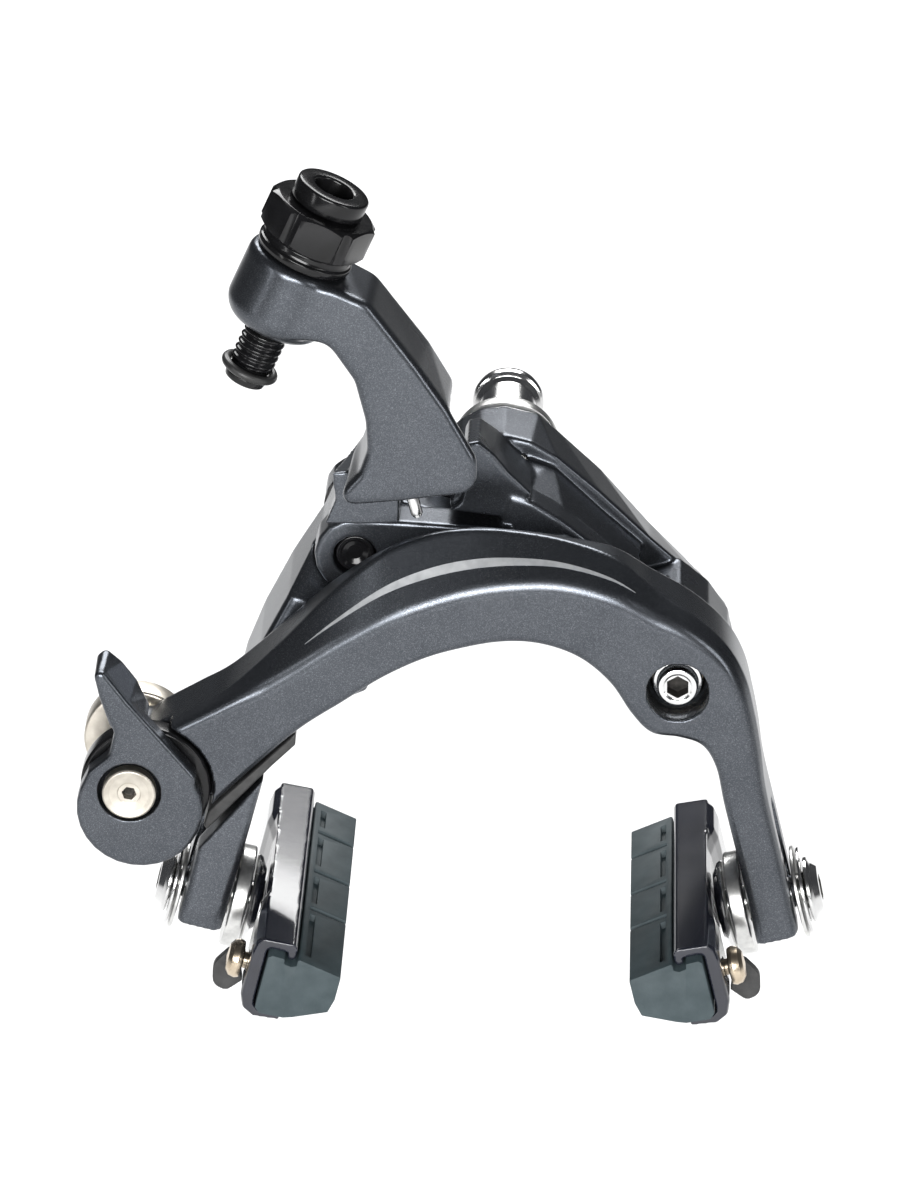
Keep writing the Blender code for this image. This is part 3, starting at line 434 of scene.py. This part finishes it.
# Stations from the quick-release end to the foot: under edge, front crease, top edge (x, z),
# then the depth of the top edge and of the back.
FRONT_ARM = [
    (-44.6, -39.6, -46.8, -26.0, -46.8, -26.0, -37.6, -28.0),
    (-43.0, -39.8, -44.6, -24.6, -44.6, -24.4, -37.6, -28.0),
    (-38.0, -35.1, -39.6, -21.9, -39.8, -21.6, -37.4, -28.0),
    (-32.6, -29.7, -35.3, -19.4, -35.4, -18.9, -37.0, -28.0),
    (-26.4, -23.9, -28.0, -15.6, -28.8, -12.9, -36.0, -28.2),
    (-20.6, -19.8, -21.0, -11.3, -22.4, -6.2, -35.2, -30.0),
    (-15.4, -16.2, -14.6, -7.7, -15.8, -0.6, -34.8, -32.4),
    (-10.2, -13.5, -8.8, -5.3, -9.6, 2.2, -34.6, -33.0),
    (-5.4, -11.9, -3.4, -3.6, -3.6, 3.2, -34.6, -33.0),
    (0.1, -10.8, 2.0, -2.6, 2.2, 2.9, -34.6, -33.0),
    (5.3, -11.0, 7.9, -2.4, 8.6, 1.8, -34.8, -32.4),
    (10.4, -12.9, 14.4, -4.0, 15.0, -0.4, -35.4, -30.6),
    (14.5, -16.5, 19.6, -6.3, 20.1, -4.4, -36.2, -28.6),
    (17.4, -21.0, 25.0, -9.2, 25.4, -7.9, -37.0, -28.0),
    (20.0, -23.7, 29.4, -12.9, 29.8, -12.0, -37.2, -28.0),
    (23.6, -24.3, 31.5, -17.0, 32.3, -16.4, -37.4, -28.0),
    (26.7, -25.5, 32.8, -21.8, 33.6, -21.5, -37.6, -27.8),
    (28.6, -28.8, 33.8, -26.9, 34.5, -26.6, -37.8, -26.6),
    (29.7, -34.0, 34.7, -32.8, 35.3, -32.6, -38.0, -25.2),
    (31.7, -42.4, 36.6, -41.4, 37.2, -41.2, -38.2, -24.6),
    (33.8, -52.0, 38.8, -50.9, 39.4, -50.7, -38.2, -24.6),
    (34.4, -54.8, 39.4, -53.6, 40.0, -53.4, -38.2, -24.6),
]
STATION_STEPS = 8
SLOT_HALF = 3.1
SLOT_UP = 11.0
SLOT_DOWN = 0.2


def shoe_frame(tag):
    """Foot point, outward axis and up-the-leg direction of a shoe."""
    side = SHOE_SIDE[tag]
    lean = SHOE_LEAN[tag]
    outward = Vector((side * math.cos(lean), 0.0, math.sin(lean)))
    upward = Vector((-side * math.sin(lean), 0.0, math.cos(lean)))
    return at(SHOE_CENTRE[tag], SHOE_BOLT_Y), outward, upward


def shoe_slot(tag):
    foot, outward, upward = shoe_frame(tag)
    rings = []
    for along in (-7.5, 7.5):
        ring = []
        for end, lift in ((1.0, SLOT_UP), (-1.0, -SLOT_DOWN)):
            for i in range(17):
                a = math.pi * i / 16
                sideways = Vector((0.0, SLOT_HALF * math.cos(a) * end, 0.0))
                ring.append(foot + outward * along + upward * (lift + end * SLOT_HALF * math.sin(a)) + sideways)
        rings.append(ring)
    return loft("slot", rings)


def arm_ring(station):
    ux, uz, cx, cz, tx, tz, y_top, y_back = station
    under = Vector((ux, 0.0, uz))
    crease = Vector((cx, 0.0, cz))
    top = Vector((tx, 0.0, tz))
    across = (crease - under).normalized()
    corners = [
        (under + Vector((0.0, ARM_FRONT, 0.0)), 0.9),
        (crease + Vector((0.0, ARM_FRONT, 0.0)), 3.0),
        (top + Vector((0.0, y_top, 0.0)), 0.8),
        (top - across * 0.3 + Vector((0.0, y_back, 0.0)), 0.8),
        (under + Vector((0.0, y_back, 0.0)), 0.6),
    ]
    return rounded(corners, steps=7, closed=True)


def make_front_arm():
    """The curved arm: a smooth loft along its stations, cut for its pivots and slot."""
    stations = smooth_path(FRONT_ARM, STATION_STEPS)
    arm = loft("arm", [arm_ring(station) for station in stations])
    boss = lathe("boss", at(CAM_CENTRE), FORWARD, [(-36.0, 0.1), (-36.0, 6.4), (-28.0, 6.4), (-28.0, 0.1)], 0.5)
    combine(
        arm, "DIFFERENCE",
        prism(at(CAM_CENTRE), FORWARD, -41.0, -36.0, CAM_RECESS_RADIUS),
    )
    combine(arm, "UNION", boss)
    combine(
        arm, "DIFFERENCE",
        prism(at(LEVER_PIVOT), FORWARD, -42.0, -20.0, 2.3),
        prism(at(RIGHT_PIVOT), FORWARD, -41.0, -35.5, 4.1),
        prism(at(RIGHT_PIVOT), FORWARD, -41.0, -20.0, 3.6),
        shoe_slot("right"),
        prism(at(LINK_PIN), FORWARD, -37.0, -20.0, 1.4),
    )
    forge(arm, 0.25, 4)
    show(arm, "front_arm", PAINT, False)


STRIPE_START = 4.4
STRIPE_END = 11.6
STRIPE_MOST = 0.14
STRIPE_LEAST = 0.002
STRIPE_MIDDLE = 0.46
STRIPE_STEPS = 12
STRIPE_PROUD = 0.06
STRIPE_SUNK = 0.3


def make_stripe():
    """A plain tapered line along the arm's slanted band, a hair proud of the paint."""
    stations = smooth_path(FRONT_ARM, STRIPE_STEPS)
    rings = []
    for i, (ux, uz, cx, cz, tx, tz, y_top, y_back) in enumerate(stations):
        t = (i / STRIPE_STEPS - STRIPE_START) / (STRIPE_END - STRIPE_START)
        if t < 0.0 or t > 1.0:
            continue
        half = STRIPE_MOST * math.sin(math.pi * t) ** 0.7 * 0.5 + STRIPE_LEAST
        crease = Vector((cx, ARM_FRONT, cz))
        rise = Vector((tx, y_top, tz)) - crease
        first = i // STRIPE_STEPS
        second = min(first + 1, len(FRONT_ARM) - 1)
        along = Vector(FRONT_ARM[second][2:4]) - Vector(FRONT_ARM[first][2:4])
        normal = rise.cross(Vector((along.x, 0.0, along.y))).normalized()
        if normal.y > 0.0:
            normal = -normal
        low = crease + rise * (STRIPE_MIDDLE - half)
        high = crease + rise * (STRIPE_MIDDLE + half)
        rings.append([
            low + normal * STRIPE_PROUD,
            high + normal * STRIPE_PROUD,
            high - normal * STRIPE_SUNK,
            low - normal * STRIPE_SUNK,
        ])
    stripe = loft("front_arm_stripe", rings)
    stripe.data.materials.append(SILVER)
    sharpen(stripe)
    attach(stripe, "c_arm")


# ---------------------------------------------------------------- forged pieces from their CAD shapes

# The pocket between the end of the sloping bar and the block around the right pivot
POCKET = [(18.9, -7.9), (21.9, -10.6), (21.5, -15.6), (18.9, -15.0)]
POCKET_DEPTH = (-28.0, -16.5)


def make_bridge():
    """The fixed bridge, with its edges rounded as a forging's are."""
    bridge = copy_node("bridge")
    combine(bridge, "DIFFERENCE", loft("pocket", [[(x, y, z) for x, z in POCKET] for y in POCKET_DEPTH]))
    forge(bridge, 0.25, 5)
    show(bridge, "bridge", PAINT, False)


def make_cable_arm():
    arm = copy_node("cable_arm")

    def softness(point):
        """The upper arm and its boss are rounded more than the leg and the hub."""
        return min(max((point.z - 4.0) / 6.0, 0.0), 1.0)

    forge(arm, 0.25, 5, softness, 26)
    show(arm, "cable_arm", PAINT, False)


LEVER_RECESS_RADIUS = 4.15


def make_lever():
    lever = copy_node("quick_release_lever")
    combine(lever, "DIFFERENCE", prism(at(LEVER_PIVOT), FORWARD, -45.0, -41.7, LEVER_RECESS_RADIUS))
    forge(lever, 0.2, 5)
    show(lever, "quick_release_lever", PAINT, False)


# ---------------------------------------------------------------- turned pieces

def make_mounting():
    """The mounting bolt, its radially serrated washer and the sleeve nut."""
    bolt = lathe("bolt", Vector(), FORWARD, [
        (-12.3, 0.02), (-12.3, 4.7), (-9.3, 4.7), (-9.3, 2.9), (9.8, 2.9), (10.2, 2.3), (10.2, 0.02),
    ], 0.25)
    combine(bolt, "DIFFERENCE", prism(Vector(), FORWARD, -13.0, -10.2, 2.5, 6))
    show(bolt, "mount_bolt", ZINC)
    ring = lathe("washer", Vector(), FORWARD, [
        (-2.2, 3.2), (-2.2, 7.35), (-0.4, 7.35), (0.0, 7.0), (0.0, 4.4), (-0.8, 3.2),
    ], 0.15, True)
    grooves = []
    for i in range(36):
        a = 2.0 * math.pi * i / 36
        spoke = Vector((math.cos(a), 0.0, math.sin(a)))
        sideways = Vector((-math.sin(a), 0.0, math.cos(a)))
        rows = []
        for reach, width in ((4.0, 0.14), (8.0, 0.34)):
            p = spoke * reach
            rows.append([p + Vector((0.0, 0.3, 0.0)) + sideways * width, p - Vector((0.0, 0.35, 0.0)),
                         p + Vector((0.0, 0.3, 0.0)) - sideways * width])
        grooves.append(loft("groove", rows))
    combine(ring, "DIFFERENCE", gather("grooves", *grooves))
    show(ring, "serrated_washer", ZINC)
    nut = lathe("nut", Vector(), FORWARD, [
        (1.0, 3.2), (1.0, 4.0), (12.4, 4.0), (12.9, 4.55), (13.4, 4.55), (13.7, 4.2), (14.0, 4.75), (14.6, 4.9),
        (15.2, 4.85), (15.5, 4.5), (15.5, 3.4), (15.1, 2.8), (10.6, 2.8), (10.6, 3.2),
    ], 0.2, True)
    show(nut, "mount_nut", CHROME)


def make_pivots():
    head = lathe("bolt", at(RIGHT_PIVOT), FORWARD, [
        (-38.2, 0.02), (-38.2, 1.7), (-38.4, 2.0), (-38.4, 2.6), (-36.6, 2.6), (-36.6, 3.3), (-35.8, 3.3),
        (-35.8, 2.3), (-4.2, 2.3), (-4.2, 0.02),
    ], 0.2)
    combine(
        head, "DIFFERENCE",
        prism(at(RIGHT_PIVOT), FORWARD, -39.0, -36.2, 1.62, 6, math.radians(30.0)),
    )
    show(head, "right_pivot_bolt", CHROME)
    darken(head, at(RIGHT_PIVOT), FORWARD, -38.1, -35.9, 1.7)
    shank = lathe("bolt", at(LEFT_PIVOT), FORWARD, [(-22.6, 0.02), (-22.6, 2.6), (-3.6, 2.6), (-3.6, 0.02)], 0.25)
    show(shank, "left_pivot_bolt", ZINC)
    cap = lathe("cap", at(LEFT_PIVOT), FORWARD, [
        (-24.2, 0.02), (-24.4, 1.0), (-24.7, 1.7), (-25.1, 2.1), (-25.1, 2.55), (-23.0, 2.6), (-23.0, 0.02),
    ], 0.2)
    show(cap, "left_pivot_cap", BLACK)
    right = at(RIGHT_PIVOT)
    left = at(LEFT_PIVOT)
    show(washer("w", right, FORWARD, -27.7, -27.2, 2.7, 5.4, 0.12), "right_pivot_washer", NYLON)
    show(washer("w", left, FORWARD, -9.85, -9.55, 3.0, 4.8, 0.08), "left_pivot_washer", NYLON)
    show(washer("b", right, FORWARD, -35.4, -28.0, 2.6, 3.4, 0.12), "right_pivot_bush", BRASS)
    show(washer("b", left, FORWARD, -19.4, -10.3, 2.9, 3.6, 0.12), "left_pivot_bush", BRASS)
    pin = lathe("pin", at(LINK_PIN), FORWARD, [
        (-36.6, 0.02), (-36.6, 1.2), (-30.2, 1.2), (-30.2, 2.4), (-29.4, 2.4), (-29.4, 1.7), (-13.4, 1.7),
        (-13.0, 1.3), (-13.0, 0.02),
    ], 0.2)
    show(pin, "link_pin", CHROME)


def make_quick_release():
    cam = lathe("cam", at(CAM_CENTRE), FORWARD, [
        (-40.1, 0.1), (-40.1, CAM_RADIUS - 0.3), (-39.7, CAM_RADIUS), (-37.2, CAM_RADIUS),
        (-36.3, CAM_RADIUS - 0.5), (-36.3, 0.1),
    ], 0.3)
    combine(cam, "DIFFERENCE", prism(at(LEVER_PIVOT), FORWARD, -45.0, -30.0, 2.4))
    show(cam, "quick_release_cam", BLACK)
    bolt = lathe("bolt", at(LEVER_PIVOT), FORWARD, [
        (-43.75, 0.02), (-43.75, 1.45), (-43.85, 1.6), (-44.0, 2.6), (-44.25, 3.3), (-44.0, 3.55), (-42.4, 3.55),
        (-42.4, 3.2), (-41.9, 3.2), (-41.9, 2.1), (-20.0, 2.1), (-20.0, 0.02),
    ], 0.12)
    combine(bolt, "DIFFERENCE", prism(at(LEVER_PIVOT), FORWARD, -44.6, -42.4, 1.0, 6, 0.2))
    show(bolt, "quick_release_bolt", NICKEL)
    darken(bolt, at(LEVER_PIVOT), FORWARD, -43.3, -42.0, 1.05)
    plate = washer("plate", at(LEVER_PIVOT), FORWARD, -27.7, -23.9, 2.3, 7.1, 0.4)
    dot = at((LEVER_PIVOT[0] + 2.0, LEVER_PIVOT[1] + 5.6))
    combine(plate, "DIFFERENCE", prism(dot, FORWARD, -28.0, -27.0, 0.6, 24))
    show(plate, "cable_clamp_plate", NICKEL)
    profile = [(-23.6, 0.02), (-23.6, 4.4), (-20.4, 4.4), (-20.4, 0.02)]
    nut = lathe("nut", at(LEVER_PIVOT), FORWARD, profile, 0.2, steps=6)
    combine(nut, "DIFFERENCE", prism(at(LEVER_PIVOT), FORWARD, -25.0, -19.0, 2.3))
    show(bevel(nut, 0.15), "cable_clamp_nut", ZINC)


# ---------------------------------------------------------------- barrel adjuster

THREAD_PITCH = 1.0
THREAD_ROOT = 2.5
THREAD_CREST = 2.95
THREAD_TOP = 18.4
THREAD_FOOT = -5.6
THREAD_ROW = 0.125
BARREL_STEPS = 64


def thread_radius(along, angle):
    """A rounded triangular thread that runs out before the groove and under the cap."""
    phase = (along / THREAD_PITCH - angle / (2.0 * math.pi)) % 1.0
    wave = 1.0 - abs(2.0 * phase - 1.0)
    wave = wave * wave * (3.0 - 2.0 * wave)
    return THREAD_ROOT + (THREAD_CREST - THREAD_ROOT) * wave


def make_barrel():
    side, other = spokes(BARREL_AXIS)
    profile = rounded([(17.4, 1.1), (17.4, 2.5), (21.2, 2.7), (21.2, 4.9), (18.5, 4.9), (18.5, 2.9)], 0.35, 3)
    foot_corners = [(-5.6, 2.9), (-5.6, 2.6), (-7.2, 2.6), (-7.2, 2.9), (-8.2, 2.7), (-8.2, 1.1)]
    foot_profile = rounded(foot_corners, 0.12, 3)
    rings = []

    def ring(along, radius):
        row = []
        for i in range(BARREL_STEPS):
            a = 2.0 * math.pi * i / BARREL_STEPS
            r = radius if radius is not None else thread_radius(along, a)
            spoke = side * math.cos(a) + other * math.sin(a)
            row.append(BARREL_FOOT + BARREL_AXIS * along + spoke * r)
        return row

    for along, radius in profile:
        rings.append(ring(along, radius))
    rows = int((THREAD_TOP - THREAD_FOOT) / THREAD_ROW)
    for i in range(rows + 1):
        rings.append(ring(THREAD_TOP - i * THREAD_ROW, None))
    for along, radius in foot_profile:
        rings.append(ring(along, radius))
    barrel = loft("barrel", rings, True)
    show(sharpen(barrel, math.radians(60.0)), "adjuster_barrel", BLACK, False)
    o_ring = lathe("o_ring", BARREL_FOOT, BARREL_AXIS, [
        (-6.4 + 0.6 * math.cos(math.pi * i / 8), 3.3 + 0.6 * math.sin(math.pi * i / 8)) for i in range(16)
    ], 0.01, True, 64)
    show(o_ring, "barrel_o_ring", SEAL)
    seat = lathe("seat", BARREL_FOOT, BARREL_AXIS, [
        (10.9, 3.2), (10.9, 6.2), (11.5, 6.4), (12.0, 6.4), (12.2, 6.1), (12.5, 6.0), (13.2, 6.0), (13.2, 3.2),
    ], 0.2, True)
    show(seat, "adjuster_seat", BLACK)


def make_adjuster_nut():
    """A hexagonal finger nut with coned rims and notched corners."""
    nut = lathe("nut", BARREL_FOOT, BARREL_AXIS, [(13.4, 0.1), (13.4, 7.7), (18.3, 7.7), (18.3, 0.1)], 0.0,
                steps=6, turn=math.radians(30.0))
    cone = lathe("cone", BARREL_FOOT, BARREL_AXIS, [
        (13.4, 0.1), (13.4, 6.5), (14.4, 7.9), (17.3, 7.9), (18.3, 6.5), (18.3, 0.1),
    ], 0.2)
    combine(nut, "INTERSECT", cone)
    side, other = spokes(BARREL_AXIS)
    for i in range(6):
        a = math.radians(60.0 * i + 30.0)
        spoke = side * math.cos(a) + other * math.sin(a)
        combine(nut, "DIFFERENCE", prism(BARREL_FOOT + spoke * 8.0, BARREL_AXIS, 12.0, 20.0, 1.2, 24))
    combine(nut, "DIFFERENCE", prism(BARREL_FOOT, BARREL_AXIS, 12.0, 20.0, 3.2))
    show(bevel(nut, 0.16, 3, 25.0), "adjuster_nut", BLACK)


def make_centring_screw():
    foot = Vector((-12.2, -30.2, 8.0))
    axis = Vector((0.25, 0.0, -1.0)).normalized()
    profile = [(0.0, 0.02), (0.0, 0.8), (4.7, 0.8), (5.2, 0.5), (5.2, 0.02)]
    show(lathe("screw", foot, axis, profile, 0.1, steps=48), "centring_screw", CHROME)


# ---------------------------------------------------------------- slider and return spring

def make_slider():
    slider = copy_node("spring_slider")
    forge(slider, 0.15, 2)
    show(slider, "spring_slider", NYLON, False)


SPRING_PATH = [
    (-15.8, -23.6, -22.8), (-14.8, -23.4, -20.6), (-12.6, -23.2, -17.6), (-9.8, -23.0, -15.2),
    (-5.6, -22.6, -13.0), (-1.0, -22.4, -11.8), (4.6, -22.4, -12.0), (9.4, -22.8, -13.8),
    (12.6, -24.4, -15.4), (14.2, -27.6, -16.2),
]
SPRING_RADIUS = 0.7


def tube(name, points, radius, sides=16):
    rings = []
    count = len(points)
    for i, point in enumerate(points):
        along = (Vector(points[min(i + 1, count - 1)]) - Vector(points[max(i - 1, 0)])).normalized()
        side = along.cross(FORWARD)
        side = side.normalized() if side.length > 0.1 else Vector((1.0, 0.0, 0.0))
        other = along.cross(side).normalized()
        end = min(i, count - 1 - i)
        size = radius if end > 1 else radius * (0.6 + 0.25 * end)
        rings.append([
            Vector(point) + (side * math.cos(a) + other * math.sin(a)) * size
            for a in (2.0 * math.pi * k / sides for k in range(sides))
        ])
    return loft(name, rings)


def make_spring():
    spring = tube("spring", smooth_path(SPRING_PATH, 8), SPRING_RADIUS)
    show(spring, "return_spring", STEEL)


# ---------------------------------------------------------------- brake shoes

PAD = [
    (-18.6, 4.4), (-18.6, 1.0), (-18.1, -1.0), (-13.8, -2.9), (-12.6, -3.3), (-9.4, -3.4), (-8.7, -2.7),
    (-8.7, 4.9), (-9.2, 5.3), (-10.9, 5.2), (-10.9, 4.5), (-11.9, 4.3), (-12.6, 4.6), (-12.6, 5.6),
]
GROOVES = (-42.4, -32.3, -21.6)
GROOVE_HALF = 0.45
PAD_GROOVE = [(-19.4, 7.0), (-13.4, 7.0), (-13.4, 4.2), (-17.6, 3.3), (-17.6, -3.0), (-19.4, -3.0)]
# The broken channel along the top of the rubber beside the holder: its section and its runs
CHANNEL = [(-14.3, 6.0), (-13.5, 6.0), (-13.5, 4.5), (-14.3, 4.3)]
CHANNELS = ((-55.0, -44.0), (-40.8, -34.0), (-30.6, -23.2), (-20.0, -15.6))


def shoe_ring(tag, outline, y):
    foot, outward, upward = shoe_frame(tag)
    lift = math.tan(SHOE_PITCH[tag]) * (y - PAD_NEAR)
    ring = []
    for point in outline:
        p = foot + outward * point[0] + upward * (point[1] + lift)
        ring.append((p.x, y, p.z))
    return ring


def make_pad(tag):
    """The rubber block, grooved across its top and channelled beside the holder."""
    outline = rounded(PAD, 0.25, 3, True)
    pad = loft("pad", [shoe_ring(tag, outline, y) for y in (PAD_NEAR, PAD_FAR - 0.5)])
    for y in GROOVES:
        sides = [shoe_ring(tag, PAD_GROOVE, y - GROOVE_HALF), shoe_ring(tag, PAD_GROOVE, y + GROOVE_HALF)]
        combine(pad, "DIFFERENCE", loft("groove", sides))
    for start, end in CHANNELS:
        sides = [shoe_ring(tag, CHANNEL, start), shoe_ring(tag, CHANNEL, end)]
        combine(pad, "DIFFERENCE", loft("channel", sides))
    show(bevel(pad, 0.12), "brake_pad_" + tag, RUBBER)


def make_holder(tag):
    holder = copy_node("shoe_holder_" + tag)
    forge(holder, 0.17, 5)
    show(holder, "shoe_holder_" + tag, GLOSS, False)


def make_fin(tag):
    fin = copy_node("guide_fin_" + tag)
    forge(fin, 0.15, 2)
    show(fin, "guide_fin_" + tag, NYLON, False)


def make_shoe_hardware(tag):
    """The shoe bolt, its washers and the small screw that keeps the rubber in."""
    foot, outward, upward = shoe_frame(tag)
    bolt = lathe("bolt", foot, outward, [
        (-7.0, 0.02), (-7.0, 2.4), (4.8, 2.4), (4.8, 4.4), (5.3, 4.4), (5.7, 3.5), (6.5, 2.9), (6.5, 0.02),
    ], 0.25)
    combine(bolt, "DIFFERENCE", prism(foot, outward, 5.3, 9.0, 1.9, 6))
    show(bolt, "shoe_bolt_" + tag, CHROME)
    darken(bolt, foot, outward, 5.2, 6.4, 1.95)
    show(washer("w", foot, outward, 3.4, 3.9, 2.7, 6.2), "outer_washer_" + tag, ZINC)
    show(washer("w", foot, outward, 4.2, 4.6, 2.7, 5.9), "cup_washer_" + tag, CHROME)
    show(washer("w", foot, outward, -5.5, -3.4, 2.7, 7.0, 0.3), "inner_washer_" + tag, ZINC)
    cone = [(-7.3, 2.7), (-7.3, 4.6), (-6.6, 5.8), (-5.8, 6.2), (-5.8, 2.7)]
    show(lathe("cone", foot, outward, cone, 0.3, True), "toe_washer_" + tag, CHROME)
    place = foot + upward * 1.2
    place.y = -52.0
    screw = lathe("screw", place, outward, [
        (-7.4, 0.02), (-7.4, 1.1), (-5.8, 1.1), (-5.8, 2.4), (-5.2, 2.6), (-4.4, 2.4), (-3.9, 1.7), (-3.7, 0.02),
    ], 0.2, steps=64)
    show(screw, "pad_screw_" + tag, BRASS)


# ---------------------------------------------------------------- studio

FLOOR_SIZE = 6000.0
FLOOR_DROP = 150.0


def area_light(name, place, target, width, height, watts):
    light = bpy.data.lights.new(name, "AREA")
    light.shape = "RECTANGLE"
    light.size = width * MM
    light.size_y = height * MM
    light.energy = watts
    obj = bpy.data.objects.new(name, light)
    bpy.context.scene.collection.objects.link(obj)
    obj.location = Vector(place) * MM
    obj.rotation_euler = (Vector(target) - Vector(place)).to_track_quat("-Z", "Y").to_euler()


def make_floor():
    low = CAD_BOX[0][2] / MM - FLOOR_DROP
    half = FLOOR_SIZE / 2.0
    bm = bmesh.new()
    outline = ((-half, -half), (half, -half), (half, half), (-half, half))
    corners = [bm.verts.new(Vector((x, y, low)) * MM) for x, y in outline]
    bm.faces.new(corners)
    floor = mesh_object("floor", bm)
    floor.data.materials.append(
        surface("pale_floor", (0.86, 0.86, 0.86), (0.9, 0.9, 0.9), 0.8, 0.0, 3.0, 400.0, 0.05)
    )


def make_world():
    world = bpy.data.worlds.new("studio")
    bpy.context.scene.world = world
    world.use_nodes = True
    background = world.node_tree.nodes["Background"]
    background.inputs["Color"].default_value = (0.9, 0.93, 1.0, 1.0)
    background.inputs["Strength"].default_value = 0.06


CAMERA_PLACE = Vector((18.304, -925.954, 408.771))
CAMERA_AIM = Vector((-7.001, -20.0, -13.847))


def make_camera():
    camera = bpy.data.cameras.new("camera")
    camera.lens = 225.0
    camera.sensor_width = 36.0
    camera.clip_start = 0.01
    camera.clip_end = 10.0
    obj = bpy.data.objects.new("camera", camera)
    bpy.context.scene.collection.objects.link(obj)
    obj.location = CAMERA_PLACE * MM
    obj.rotation_euler = (CAMERA_AIM * MM - obj.location).to_track_quat("-Z", "Y").to_euler()
    bpy.context.scene.camera = obj


# Name, place and aim, width and height, then power in watts
LIGHTS = [
    ("overhead", (0.0, 900.0, 900.0), (0.0, 0.0, 0.0), 1100.0, 700.0, 23.0),
    ("front_box", (-100.0, -1500.0, 480.0), (0.0, 0.0, 0.0), 1100.0, 520.0, 34.0),
    ("left_box", (-800.0, -650.0, 260.0), (0.0, -20.0, 0.0), 90.0, 600.0, 1.2),
    ("right_box", (820.0, -600.0, 260.0), (0.0, -20.0, 0.0), 200.0, 600.0, 2.4),
]


def make_studio():
    bpy.context.scene.view_settings.view_transform = "Standard"
    make_floor()
    make_world()
    for light in LIGHTS:
        area_light(*light)


make_camera()
make_studio()
make_bridge()
make_mounting()
make_pivots()
make_front_arm()
make_stripe()
make_lever()
make_quick_release()
make_cable_arm()
make_slider()
make_centring_screw()
make_barrel()
make_adjuster_nut()
make_spring()
for tag in ("right", "left"):
    make_holder(tag)
    make_pad(tag)
    make_fin(tag)
    make_shoe_hardware(tag)
